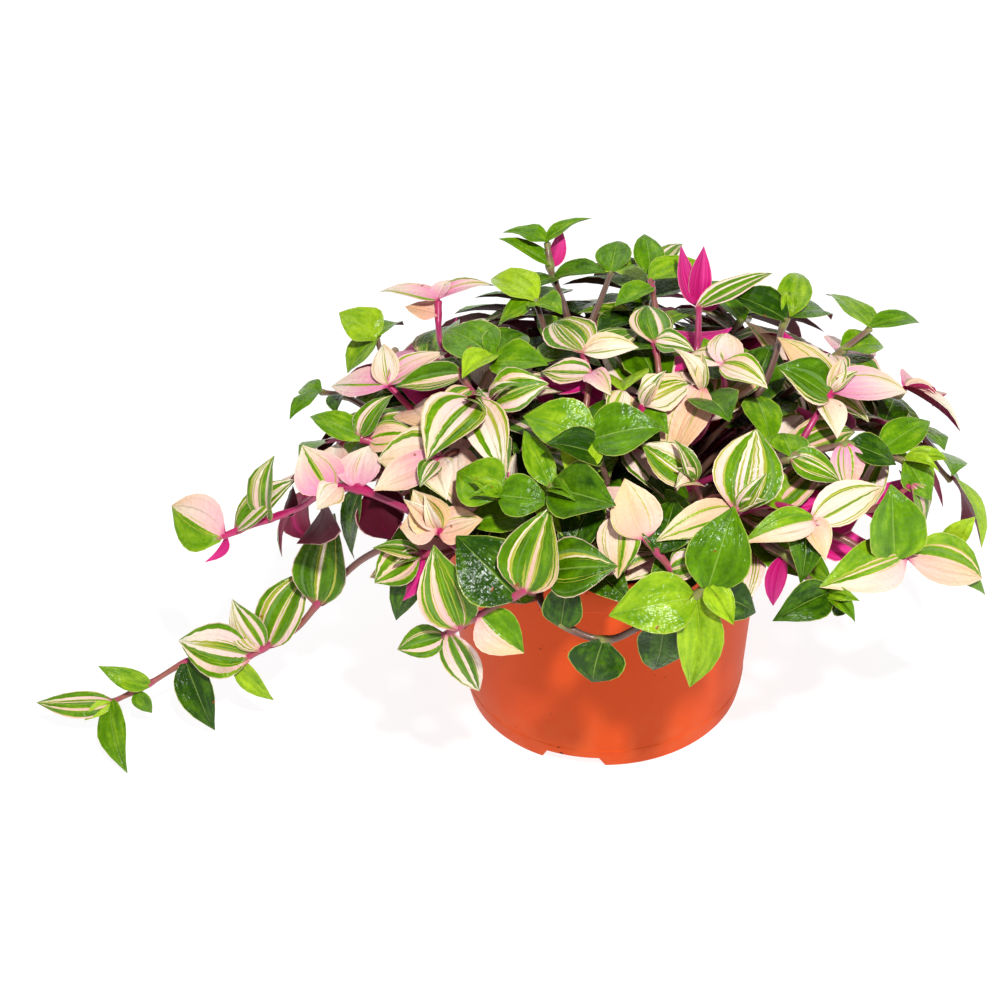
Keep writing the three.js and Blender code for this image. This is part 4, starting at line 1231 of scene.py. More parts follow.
@dataclass
class StemLine:
    """A stem's middle line: a smooth curve through its points."""

    knots: np.ndarray

    # How far to either side of a place its heading is taken
    STEP = 0.02

    def __post_init__(self) -> None:
        """Works out the heading at each point from its neighbours, the nearer one weighing more."""
        gaps = np.linalg.norm(np.diff(self.knots, axis=0), axis=1)
        slopes = np.diff(self.knots, axis=0) / gaps[:, None]
        inner = slopes[:-1] * gaps[1:, None] + slopes[1:] * gaps[:-1, None]
        inner = inner / (gaps[:-1] + gaps[1:])[:, None]
        self.gaps = gaps
        self.headings = np.vstack([slopes[:1], inner, slopes[-1:]])

    def at(self, place: float) -> np.ndarray:
        """A point of the line.

        Args:
            place: Its place, counted along the line's points.

        Returns:
            The point.
        """
        i = min(int(place), len(self.gaps) - 1)
        t = place - i
        a, b = self.knots[i], self.knots[i + 1]
        m, n = self.headings[i] * self.gaps[i], self.headings[i + 1] * self.gaps[i]
        ends = a * (2 * t**3 - 3 * t**2 + 1) + b * (3 * t**2 - 2 * t**3)
        return ends + m * (t**3 - 2 * t**2 + t) + n * (t**3 - t**2)

    def heading(self, place: float) -> np.ndarray:
        """The direction of the line at a place."""
        low, high = max(place - self.STEP, 0), min(place + self.STEP, len(self.gaps))
        return unit(self.at(high) - self.at(low))

    def samples(self, spacing: float) -> tuple[np.ndarray, np.ndarray]:
        """Divides the line into points.

        Args:
            spacing: About how far apart they are, in millimetres.

        Returns:
            The points, and their places along the line.
        """
        places = [
            i + k / math.ceil(gap / spacing)
            for i, gap in enumerate(self.gaps)
            for k in range(math.ceil(gap / spacing))
        ]
        places.append(float(len(self.gaps)))
        return np.array([self.at(place) for place in places]), np.array(places)


@dataclass
class Tube:
    """A length of stem: its middle line, its joints and how thick it is, in millimetres."""

    line: StemLine
    joints: list[float]
    radius: float
    tip_radius: float
    colour: Look
    age: float
    spacing: float = 2.6

    # A joint's swelling, and how far it reaches towards the tip and towards the root
    SWELLING = 0.45
    REACH_AHEAD = 4.2
    REACH_BEHIND = 1.8
    # How far a joint's brighter colour reaches, and how much of it shows
    TINT_REACH = 2.4
    TINT_SHARE = 0.8
    # The rounded end: its length and its radius, as shares of the tip's radius
    END_SHARE = 0.5

    def sample(self) -> tuple[np.ndarray, np.ndarray, np.ndarray]:
        """Divides the stem into rings.

        Returns:
            Each ring's middle, radius and colour.
        """
        points, places = self.line.samples(self.spacing)
        end = points[-1] + self.line.heading(places[-1]) * self.tip_radius * self.END_SHARE
        points = np.vstack([points, end])
        places = np.append(places, places[-1])
        far = places / places[-1]
        radius = self.radius + (self.tip_radius - self.radius) * far**3
        joint = np.zeros(len(points))
        for place in self.joints:
            distance = np.linalg.norm(points - self.line.at(place), axis=1)
            reach = np.where(places >= place, self.REACH_AHEAD, self.REACH_BEHIND)
            radius = radius + self.SWELLING * np.exp(-((distance / reach) ** 2))
            joint = np.maximum(joint, np.exp(-((distance / self.TINT_REACH) ** 2)))
        radius[-1] *= self.END_SHARE
        plain, bright = (np.array(srgb(*tint)[:3]) for tint in STEM_COLOURS[self.colour])
        plain = plain + (np.array(srgb(*OLD_STEM)[:3]) - plain) * (self.age * (1 - far))[:, None]
        tint = plain + (bright - plain) * (joint * self.TINT_SHARE)[:, None]
        return points, radius, tint


@dataclass
class Shoot:
    """A leafy shoot, grown on the stem and the leaves of its frame node."""

    plan: ShootPlan
    number: int
    blades: list[Blade] = field(default_factory=list)
    tubes: list[Tube] = field(default_factory=list)
    matched: int = 0

    STEM_RADIUS = 1.35
    TIP_RADIUS = 1.0
    BEVEL_STEPS = 2
    THICKNESS = 0.55
    SMOOTH_ANGLE = 52
    # How much of the old stems' colour a stem takes at its root
    AGES = (0.3, 1.0)

    # How far each part of a leaf's habit strays from leaf to leaf
    FOLD_SPREAD = 0.08
    ARCH_SPREAD = 0.02
    LEAST_RECURVE = 0.01
    RECURVE_SPREAD = 0.05
    WAVE_SPREAD = 0.04
    TWIST_SPREAD = 14
    SWAY_SPREAD = 0.02

    # The youngest pair: length, width, swing from the heading in degrees, and lift as a share of the length
    YOUNG_PAIR = ((11, 6.5, 14, 0.75), (7.5, 5, -28, 1.1))
    YOUNG_SIZES = (0.85, 1.25)
    YOUNG_HABIT = {"fold": 0.95, "recurve": 0.14, "arch": 0.12}

    def __post_init__(self) -> None:
        """Reads the frame node, finds the stem's root and rise, and draws its line."""
        self.rng = np.random.default_rng(FIRST_SEED + self.number)
        self.node = f"spray_{self.plan.name}"
        vertices = frame["nodes"][self.node].data.vertices
        co = np.zeros(len(vertices) * 3)
        vertices.foreach_get("co", co)
        self.corners = np.unique(np.round(co.reshape(-1, 3) / MM, 3), axis=0)
        stem = np.array(self.plan.stem, float)
        foot = self.corners[np.abs(self.corners[:, 2] - ROOT_HEIGHT) < MATCH]
        root = np.array([*foot[:, :2].mean(0), ROOT_HEIGHT])
        rise = self.rise_towards(root, stem[0])
        self.knots = np.vstack([root, [*root[:2], COLLAR_HEIGHT], rise, stem])
        self.line = StemLine(self.knots)
        self.light = self.plan.light

    def rise_towards(self, root: np.ndarray, first: np.ndarray) -> np.ndarray:
        """Finds where the stem rises inside the mound, by the ring of corners that lies round it.

        Args:
            root: The stem's root.
            first: Its first listed point.

        Returns:
            The point between them.
        """
        tries = []
        for lift in RISE_LIFTS:
            rise = (root + first) / 2
            rise[2] = SOIL_TOP + lift * (max(first[2], LEAST_RISE_HEIGHT) - SOIL_TOP)
            distance = np.linalg.norm(self.corners - rise, axis=1)
            nearest = np.sort(np.abs(distance - PLAIN_STEM_RADIUS))[:PLAIN_STEM_SIDES]
            tries.append((nearest.sum(), rise))
        return min(tries, key=lambda each: each[0])[1]

    def joint(self, place: float) -> np.ndarray:
        """A leaf's joint on the frame's straight-sided stem.

        Args:
            place: The leaf's place along the listed points.

        Returns:
            The point.
        """
        i = min(int(place), len(self.plan.stem) - 2) + HIDDEN_POINTS
        t = place - (i - HIDDEN_POINTS)
        return self.knots[i] * (1 - t) + self.knots[i + 1] * t

    def grow(self) -> None:
        """Lays the listed leaves where the frame has them."""
        for place, tip, look, width in self.plan.leaves:
            base = self.joint(place)
            leaf_frame, size = self.frame_leaf(base, np.array(tip, float), look, width)
            shift = self.line.at(place + HIDDEN_POINTS) - base + leaf_frame.up[0] * self.TIP_RADIUS
            fold = FOLDS.get(look, LISTED_FOLD) + self.rng.normal(0, self.FOLD_SPREAD)
            width *= size * SLIM.get(look, 1.0)
            habit = self.habit(fold=fold)
            self.blades.append(Blade(leaf_frame, width, look, habit, self.rng.random(), shift))
        places = sorted({place + HIDDEN_POINTS for place, *_ in self.plan.leaves})
        age = self.rng.uniform(*self.AGES)
        self.tubes.append(Tube(self.line, places, self.STEM_RADIUS, self.TIP_RADIUS, self.plan.colour, age))

    def frame_leaf(
        self, base: np.ndarray, tip: np.ndarray, look: Look, width: float
    ) -> tuple[LeafFrame, float]:
        """Finds how the frame turned, tilted and sized a listed leaf, by the corners of its blade.

        Args:
            base: The leaf's joint.
            tip: The listed tip.
            look: What it looks like.
            width: The listed width.

        Returns:
            The leaf's directions and its size against the list.
        """
        plain = LeafFrame.towards(base, tip[None], look, self.light)
        if width < LEAST_PLAIN_WIDTH:
            return plain, 1.0
        chords = TRIES[:, 2:3] * plain.along * plain.length
        chords = turned_about(chords, plain.up[0], TRIES[:, 0])
        chords = turned_about(chords, plain.side[0], TRIES[:, 1])
        tried = LeafFrame.towards(base, base + chords, look, self.light)
        share, part = PLAIN_ROW
        across = part * width * TRIES[:, 2:3]
        faces = tried.up * PLAIN_HALF_THICKNESS
        found = np.zeros(len(TRIES))
        corners = [tried.plain_point(*spot) for spot in ((1, 0), (share, across), (share, -across))]
        for corner in corners:
            for side in (corner + faces, corner - faces):
                gaps = np.abs(side[:, None] - self.corners[None]).max(2).min(1)
                found += gaps < MATCH
        best = int(found.argmax())
        if found[best] == 0:
            return plain, 1.0
        self.matched += 1
        rows = (tried.along, tried.up, tried.side, tried.length)
        return LeafFrame(base, *[row[best : best + 1] for row in rows]), TRIES[best, 2]

    def habit(self, **changes: float) -> Habit:
        """A leaf's habit, each a little different.

        Args:
            changes: The parts of it that are given.

        Returns:
            The habit.
        """
        values = {
            "fold": PLAIN_FOLD + self.rng.normal(0, self.FOLD_SPREAD),
            "arch": PLAIN_ARCH + self.rng.normal(0, self.ARCH_SPREAD),
            "recurve": self.LEAST_RECURVE + self.rng.random() * self.RECURVE_SPREAD,
            "wave": self.rng.normal(0, self.WAVE_SPREAD),
            "phase": self.rng.random() * FULL_TURN,
            "twist": self.rng.normal(0, self.TWIST_SPREAD),
            "sway": self.rng.normal(0, self.SWAY_SPREAD),
        }
        return Habit(**{**values, **changes})

    def swung(
        self, place: float, swing: float, length: float, lift: float, look: Look, light: Sequence[float]
    ) -> LeafFrame:
        """Swings a leaf from the stem's heading and lifts it off the mound.

        Args:
            place: Where on the stem the leaf starts.
            swing: The angle from the heading, in degrees.
            length: The leaf's length along the mound.
            lift: Its lift, as a share of that length.
            look: What it looks like.
            light: What it turns to.

        Returns:
            The leaf's directions.
        """
        base = self.line.at(place)
        tip = swung_tip(base, self.line.heading(place), swing, length, lift)
        return LeafFrame.towards(base, tip[None], look, light)

    def add_young(self) -> None:
        """Adds the small folded leaves in which the shoot ends, unless the list has one there."""
        end = float(len(self.knots) - 1)
        last = [leaf for leaf in self.plan.leaves if leaf[0] == len(self.plan.stem) - 1]
        if any(look is LIME or width <= YOUNG_WIDTH for _, _, look, width in last):
            return
        green = self.rng.choice([LIME, FRESH, GREEN])
        tender = {GREEN: green, STRIPED: STRIPED, PINK: CREAM}[self.plan.colour]
        for length, width, swing, lift in self.YOUNG_PAIR:
            length *= self.rng.uniform(*self.YOUNG_SIZES)
            young = self.swung(end, swing * self.rng.choice([-1, 1]), length, lift, tender, self.light)
            habit = self.habit(**self.YOUNG_HABIT)
            self.blades.append(Blade(young, width, tender, habit, self.rng.random()))

    def build(self, patterns: Sequence[LeafPattern], materials: Sequence[bpy.types.Material]) -> None:
        """Makes the shoot's one piece of its stem and leaves.

        Args:
            patterns: The fine leaf, and the coarse one that the inner leaves are copied from.
            materials: The materials of the leaves' upper sides, their lower sides, and the stem.
        """
        stem = self.build_stems()
        cut = [(blade, patterns[blade.inner]) for blade in self.blades]
        points = np.vstack([blade.points(pattern, self.THICKNESS) for blade, pattern in cut]) * MM
        faces = []
        start = 0
        for _, pattern in cut:
            faces += [[i + start for i in face] for face in pattern.faces]
            start += len(pattern.points)
        mesh = bpy.data.meshes.new(self.plan.name)
        mesh.from_pydata(points, [], faces)
        piece = bpy.data.objects.new(self.plan.name, mesh)
        bpy.context.collection.objects.link(piece)
        painted = [blade.paint(pattern, self.rng) for blade, pattern in cut]
        self.hold(mesh, LOOK_NAME, np.vstack([look for look, _ in painted]))
        self.hold(mesh, MARK_NAME, np.vstack([mark for _, mark in painted]))
        uv = np.vstack([pattern.flat for _, pattern in cut])
        loops = np.zeros(len(mesh.loops), int)
        mesh.loops.foreach_get("vertex_index", loops)
        mesh.uv_layers.new(name=UV_NAME).data.foreach_set("uv", uv[loops].ravel())
        mesh.polygons.foreach_set("material_index", np.hstack([pattern.lower for _, pattern in cut]))
        for material in materials[:2]:
            mesh.materials.append(material)
        stem.data.materials.append(materials[2])
        select_only(piece, stem)
        bpy.ops.object.join()
        bpy.ops.object.shade_smooth_by_angle(angle=math.radians(self.SMOOTH_ANGLE))
        settle(piece, SLOTS[self.plan.colour], self.node)

    def build_stems(self) -> bpy.types.Object:
        """Makes the stems as rounded curves, and turns them into a mesh whose points hold their colours.

        Returns:
            The stems, as one object.
        """
        curve = bpy.data.curves.new(f"{self.plan.name}_stem", "CURVE")
        curve.dimensions = "3D"
        curve.bevel_depth = MM
        curve.bevel_resolution = self.BEVEL_STEPS
        curve.use_fill_caps = True
        sampled = [tube.sample() for tube in self.tubes]
        for points, radius, _ in sampled:
            spline = curve.splines.new("POLY")
            spline.points.add(len(points) - 1)
            spline.points.foreach_set("co", np.hstack([points * MM, np.ones((len(points), 1))]).ravel())
            spline.points.foreach_set("radius", radius)
        stem = bpy.data.objects.new(curve.name, curve)
        bpy.context.collection.objects.link(stem)
        select_only(stem)
        bpy.ops.object.convert(target="MESH")
        stem = bpy.context.object
        mesh = stem.data
        co = np.zeros(len(mesh.vertices) * 3)
        mesh.vertices.foreach_get("co", co)
        middle = np.vstack([points for points, *_ in sampled])
        tint = np.vstack([tints for *_, tints in sampled])
        nearest = np.linalg.norm(co.reshape(-1, 1, 3) / MM - middle[None], axis=2).argmin(1)
        self.hold(mesh, LOOK_NAME, tint[nearest])
        self.hold(mesh, MARK_NAME, np.ones((len(mesh.vertices), 3)))
        return stem

    @staticmethod
    def hold(mesh: bpy.types.Mesh, name: str, values: np.ndarray) -> None:
        """Gives each point of a mesh a vector to hold.

        Args:
            mesh: The mesh.
            name: The attribute's name.
            values: The vectors, one to a row.
        """
        attribute = mesh.attributes.new(name, "FLOAT_VECTOR", "POINT")
        attribute.data.foreach_set("vector", values.astype(np.float32).ravel())


def swung_tip(base: np.ndarray, heading: np.ndarray, swing: float, length: float, lift: float) -> np.ndarray:
    """Finds the tip of a leaf that lies along the mound.

    Args:
        base: Where the leaf starts.
        heading: Its stem's direction there.
        swing: The angle that the leaf is swung from it, in degrees.
        length: The leaf's length along the mound.
        lift: How far its tip is lifted off the mound, as a share of that length.

    Returns:
        The tip.
    """
    outward = Mound.normal(base)
    forward = square_to(heading, outward)
    sideways = np.cross(forward, outward)
    angle = math.radians(swing)
    return base + length * (forward * math.cos(angle) + sideways * math.sin(angle) + outward * lift)


def back_plans() -> list[ShootPlan]:
    """Sets out the shoots on the far side by the frame's rule.

    Returns:
        Their plans.
    """
    plans = []
    for i, (bearing, height, colour) in enumerate(BACK_SHOOTS):
        start = bearing + (-BACK_SWAY if i % 2 else BACK_SWAY)
        stem = [
            Mound.point(start, height + BACK_CLIMB, BACK_START),
            Mound.point(bearing, height, BACK_END),
        ]
        leaves = []
        for k, (place, swing, length, width) in enumerate(BACK_LEAVES):
            base = stem[0] * (1 - place) + stem[1] * place
            grown = length * (1 - BACK_LEAF_CHANGE * ((i + k) % 3))
            swing = -swing if i % 2 else swing
            tip = swung_tip(base, stem[1] - stem[0], swing, grown, BACK_LEAF_LIFT)
            leaves.append((place, tip, BACK_LOOKS[colour][k], width))
        plans.append(ShootPlan(f"back_{i + 1}", colour, stem, leaves, BACK_LIGHT))
    return plans


@dataclass
class Foliage:
    """All the leafy shoots, with the inner leaves that fill the mound behind the listed ones."""

    # The look down onto bare soil, free of inner leaves: two places on it, a half width and the eye
    clearing: Sequence[Sequence[float]] = ((45, -12, 88), (44, 38, 88))
    clearing_reach: float = 15.0
    clearing_steps: int = 5
    camera: Sequence[float] = (0, -603, 526)

    # The inner leaves of a shoot: how many, where they start on its hidden stretch, and how each is chosen
    inner_front: int = 7
    inner_back: int = 13
    inner_start: float = 1.5
    inner_span: float = 1.45
    inner_scatter: float = 0.6
    inner_tries: int = 24
    inner_depth: float = 0.96
    stem_spacing: float = 2.0
    pierced_cost: float = 3.0

    # The ranges of an inner leaf: its length, its swing in degrees, its lift, and its width as a share
    lengths: Sequence[float] = (24, 33)
    swings: Sequence[float] = (-160, 160)
    lifts: Sequence[float] = (-0.1, 0.45)
    widths: Sequence[float] = (0.56, 0.68)
    inner_light: Sequence[float] = (0, 0, 0.8)
    inner_looks: dict = field(default_factory=lambda: {
        GREEN: (GREEN, DARK, STRIPED),
        STRIPED: (STRIPED, CREAM, DARK, MAGENTA),
        PINK: (CREAM, STRIPED, PEACH, MAGENTA, DARK),
    })

    # An inner leaf stays this far above the soil, and above the rim's top where it is this far out
    room_above: float = 3.0
    rim_inside: float = 54.0

    def build(self) -> None:
        """Grows every shoot, fills the mound, and makes the pieces."""
        patterns = [LeafPattern(FINE_ROWS), LeafPattern(COARSE_ROWS)]
        for pattern in patterns:
            pattern.build()
        materials = [LeafFinish().material(), UndersideFinish().material(), StemFinish().material()]
        shoots = [Shoot(plan, i) for i, plan in enumerate([*FRONT_SHOOTS, *back_plans()])]
        for shoot in shoots:
            shoot.grow()
        listed = sum(len(shoot.plan.leaves) for shoot in shoots)
        log.info("%d of %d leaves found in the frame", sum(shoot.matched for shoot in shoots), listed)
        for shoot in shoots:
            shoot.add_young()
        self.fill(shoots)
        for shoot in shoots:
            shoot.build(patterns, materials)

    def fill(self, shoots: Sequence[Shoot]) -> None:
        """Adds leaves along the hidden stretches of the stems, each where there is most room.

        Args:
            shoots: All the shoots, with their listed leaves.
        """
        taken = np.vstack([blade.probes() for shoot in shoots for blade in shoot.blades])
        tubes = [tube for shoot in shoots for tube in shoot.tubes]
        stems = np.vstack([tube.line.samples(self.stem_spacing)[0] for tube in tubes])
        for shoot in shoots:
            count = self.inner_back if shoot.light == BACK_LIGHT else self.inner_front
            for k in range(count):
                scatter = k + shoot.rng.random() * self.inner_scatter
                place = self.inner_start + self.inner_span * scatter / count
                found = self.roomiest(shoot, place, taken, stems)
                if found is not None:
                    shoot.blades.append(found)
                    taken = np.vstack([taken, found.probes()])

    def roomiest(self, shoot: Shoot, place: float, taken: np.ndarray, stems: np.ndarray) -> Blade | None:
        """Tries leaves at one place on a stem, and keeps the one that is furthest from the others.

        Args:
            shoot: The shoot.
            place: The place along its stem.
            taken: The probes of all the leaves so far.
            stems: Points of all the stems, which a leaf had better not pierce.

        Returns:
            The leaf, or nothing where none is allowed.
        """
        most_room, best = -math.inf, None
        for _ in range(self.inner_tries):
            blade = self.inner_leaf(shoot, place)
            probes = blade.probes()
            if not self.allowed(probes):
                continue
            room = np.linalg.norm(probes[:, None] - taken[None], axis=2).min()
            room -= self.pierced_cost * blade.pierced_by(stems)
            if room > most_room:
                most_room, best = room, blade
        return best

    def inner_leaf(self, shoot: Shoot, place: float) -> Blade:
        """Draws an inner leaf.

        Args:
            shoot: Its shoot.
            place: Its place along the stem.

        Returns:
            The leaf.
        """
        look = shoot.rng.choice(self.inner_looks[shoot.plan.colour])
        length = shoot.rng.uniform(*self.lengths)
        swing = shoot.rng.uniform(*self.swings)
        lift = shoot.rng.uniform(*self.lifts)
        leaf = shoot.swung(place, swing, length, lift, look, self.inner_light)
        width = length * shoot.rng.uniform(*self.widths)
        return Blade(leaf, width, look, shoot.habit(), shoot.rng.random(), inner=True)

    def allowed(self, probes: np.ndarray) -> bool:
        """Tells whether an inner leaf stays in the mound, off the pot and out of the clearing.

        Args:
            probes: A few points of the leaf.

        Returns:
            Whether it does.
        """
        if Mound.depth(probes).max() > self.inner_depth:
            return False
        heights = probes[:, 2]
        over_rim = np.linalg.norm(probes[:, :2], axis=1) > self.rim_inside
        if np.any(over_rim & (heights < POT_HEIGHT + self.room_above)):
            return False
        if heights.min() < SOIL_TOP + self.room_above:
            return False
        eye = np.array(self.camera, float)
        for spot in np.linspace(*self.clearing, self.clearing_steps):
            sight = unit(eye - spot)
            away = probes - spot
            off = np.linalg.norm(away - sight * (away @ sight)[:, None], axis=1)
            if off.min() < self.clearing_reach:
                return False
        return True


def spun(name: str, profile: Sequence[tuple[float, float]], steps: int) -> bpy.types.Object:
    """Extrudes a profile point by point and spins it about the pot's axis.

    Args:
        name: The piece's name.
        profile: Radius and height pairs in millimetres, from the axis and back to it.
        steps: How many steps the full turn has.

    Returns:
        The closed piece, with its faces outwards.
    """
    bpy.ops.object.select_all(action="DESELECT")
    bpy.ops.mesh.primitive_plane_add(size=MM)
    piece = bpy.context.object
    piece.name = name
    bpy.ops.object.mode_set(mode="EDIT")
    bpy.ops.mesh.select_all(action="SELECT")
    bpy.ops.mesh.merge(type="CENTER")
    places = [Vector((radius * MM, 0, height * MM)) for radius, height in profile]
    bpy.ops.transform.translate(value=places[0])
    for start, end in zip(places, places[1:]):
        bpy.ops.mesh.extrude_region_move(TRANSFORM_OT_translate={"value": end - start})
    bpy.ops.mesh.select_all(action="SELECT")
    bpy.ops.mesh.spin(steps=steps, angle=2 * math.pi, center=(0, 0, 0), axis=(0, 0, 1))
    bpy.ops.mesh.select_all(action="SELECT")
    bpy.ops.mesh.remove_doubles(threshold=WELD * MM)
    bpy.ops.mesh.normals_make_consistent(inside=False)
    bpy.ops.object.mode_set(mode="OBJECT")
    return piece


def arc(
    centre: tuple[float, float], radius: float, start: float, end: float, steps: int
) -> list[tuple[float, float]]:
    """Divides an arc of a profile into points.

    Args:
        centre: Its centre's radius and height in the profile.
        radius: Its own radius.
        start: The angle that it starts at, in degrees from outwards.
        end: The angle that it ends at.
        steps: How many steps it has.

    Returns:
        The points.
    """
    angles = [math.radians(start + (end - start) * k / steps) for k in range(steps + 1)]
    return [(centre[0] + radius * math.cos(a), centre[1] + radius * math.sin(a)) for a in angles]


@dataclass
class Pot:
    """The nursery pot: a tapered wall with a rolled collar, a foot ring with notches, and a drained floor."""

    steps: int = 128
    # The foot: the pad under its middle, the ring's edges, and the corner of the floor
    pad_radius: float = 14.5
    chamfer: float = 0.4
    draft: float = 0.3
    toe: float = 0.5
    corner: float = 0.8
    # The moulding line
    mould_line: float = 8.2
    line_half: float = 0.25
    line_rise: float = 0.14
    line_groove: float = 0.05
    # The collar: the wall below it, its ledge, its slightly round side and its rolled lip
    neck: float = 2.0
    collar_gap: float = 0.2
    collar_taper: float = 1.0
    ledge: float = 0.6
    ledge_rise: float = 0.1
    ledge_round: float = 0.7
    ledge_from: float = -80
    ledge_steps: int = 4
    belly: float = 0.5
    lip: float = 0.65
    lip_steps: int = 8
    # The notches and the drain holes
    notch_count: int = 3
    notch_width: float = 25.0
    notch_height: float = 4.7
    notch_reach: float = 9.0
    notch_inset: float = 1.0
    first_notch: float = -103.0
    drain_count: int = 8
    drain_radius: float = 4.0
    drain_circle: float = 36.0
    drain_depth: float = 8.0
    drain_sides: int = 32
    # How its edges are rounded and shaded
    edge: float = 0.25
    edge_angle: float = 60.0
    smooth_angle: float = 24.0

    def wall_radius(self, height: float) -> float:
        """The wall's outer radius at a height below the collar."""
        return WALL_FOOT_RADIUS + (WALL_TOP_RADIUS - WALL_FOOT_RADIUS) * height / COLLAR_FOOT

    def profile(self) -> list[tuple[float, float]]:
        """Draws the wall's section.

        Returns:
            Its radius and height pairs, from the middle of the foot round to the middle of the floor.
        """
        line = self.mould_line
        line_radius = self.wall_radius(line)
        half = self.line_half
        ring = FOOT_RADIUS - WALL
        neck = COLLAR_FOOT - self.neck
        ledge = RIM_RADIUS - self.collar_taper - self.ledge
        ledge_middle = (ledge, COLLAR_FOOT + self.ledge_rise + self.ledge_round)
        side = (RIM_RADIUS - self.collar_taper + self.belly, (COLLAR_FOOT + POT_HEIGHT) / 2)
        lip_middle = (RIM_RADIUS - WALL / 2, POT_HEIGHT - self.lip)
        inside = self.wall_radius(FLOOR_TOP) - WALL
        return [
            (0, 0),
            (self.pad_radius - self.chamfer, 0),
            (self.pad_radius, self.chamfer),
            (self.pad_radius + self.draft, BASE_UNDER),
            (ring - self.draft, BASE_UNDER),
            (ring, self.draft),
            (ring + self.draft, 0),
            (FOOT_RADIUS, 0),
            (FOOT_RADIUS + self.toe, self.chamfer),
            (self.wall_radius(SKIRT_HEIGHT), SKIRT_HEIGHT),
            (line_radius - self.line_groove, line - 2 * half),
            (line_radius + self.line_rise, line - half),
            (line_radius + self.line_rise, line + half),
            (line_radius, line + 2 * half),
            (self.wall_radius(neck), neck),
            (WALL_TOP_RADIUS, COLLAR_FOOT - self.collar_gap),
            (ledge, COLLAR_FOOT + self.ledge_rise),
            *arc(ledge_middle, self.ledge_round, self.ledge_from, 0, self.ledge_steps),
            side,
            *arc(lip_middle, self.lip, 0, 180, self.lip_steps),
            (RIM_RADIUS - WALL - self.collar_taper, COLLAR_FOOT + WALL),
            (WALL_TOP_RADIUS - WALL, COLLAR_FOOT - WALL),
            (inside, FLOOR_TOP + self.corner),
            (inside - self.corner, FLOOR_TOP),
            (0, FLOOR_TOP),
        ]

    def build(self) -> None:
        """Makes the pot: the spun wall, with the notches and the drain holes cut."""
        pot = spun("pot_wall", self.profile(), self.steps)
        for k in range(self.notch_count):
            self.cut(pot, self.notch_cutter(self.first_notch + 360 * k / self.notch_count))
        for k in range(self.drain_count):
            angle = 2 * math.pi * k / self.drain_count
            place = (self.drain_circle * math.cos(angle) * MM, self.drain_circle * math.sin(angle) * MM)
            bpy.ops.mesh.primitive_cylinder_add(
                vertices=self.drain_sides, radius=self.drain_radius * MM, depth=self.drain_depth * MM,
                location=(*place, FLOOR_TOP * MM),
            )
            self.cut(pot, bpy.context.object)
        apply_modifier(
            pot, "BEVEL", width=self.edge * MM, segments=2, limit_method="ANGLE",
            angle_limit=math.radians(self.edge_angle), use_clamp_overlap=True,
        )
        select_only(pot)
        bpy.ops.object.shade_smooth_by_angle(angle=math.radians(self.smooth_angle))
        pot.data.materials.clear()
        pot.data.materials.append(PotFinish().material())
        settle(pot, "pot", "pot")

    def notch_cutter(self, bearing: float) -> bpy.types.Object:
        """Makes a block that cuts a notch, narrower at its top than at its foot.

        Args:
            bearing: The notch's bearing round the foot ring, in degrees.

        Returns:
            The block, at its place across the ring.
        """
        bpy.ops.mesh.primitive_cube_add(size=1)
        cutter = bpy.context.object
        widest = self.notch_width + self.notch_height
        narrowest = self.notch_width - self.notch_height
        size = (self.notch_reach * MM, widest * MM, 2 * self.notch_height * MM, 1)
        cutter.data.transform(Matrix.Diagonal(size))
        bpy.ops.object.mode_set(mode="EDIT")
        bpy.ops.mesh.select_all(action="DESELECT")
        bpy.ops.object.mode_set(mode="OBJECT")
        for vertex in cutter.data.vertices:
            vertex.select = vertex.co.z > 0
        bpy.ops.object.mode_set(mode="EDIT")
        bpy.ops.transform.resize(value=(1, narrowest / widest, 1))
        bpy.ops.mesh.select_all(action="SELECT")
        bpy.ops.transform.translate(value=((FOOT_RADIUS - self.notch_inset) * MM, 0, 0))
        bpy.ops.object.mode_set(mode="OBJECT")
        cutter.data.transform(Matrix.Rotation(math.radians(bearing), 4, "Z"))
        return cutter

    @staticmethod
    def cut(piece: bpy.types.Object, cutter: bpy.types.Object) -> None:
        """Cuts one piece by another and removes the cutter."""
        apply_modifier(piece, "BOOLEAN", operation="DIFFERENCE", object=cutter, solver="EXACT")
        bpy.data.objects.remove(cutter)


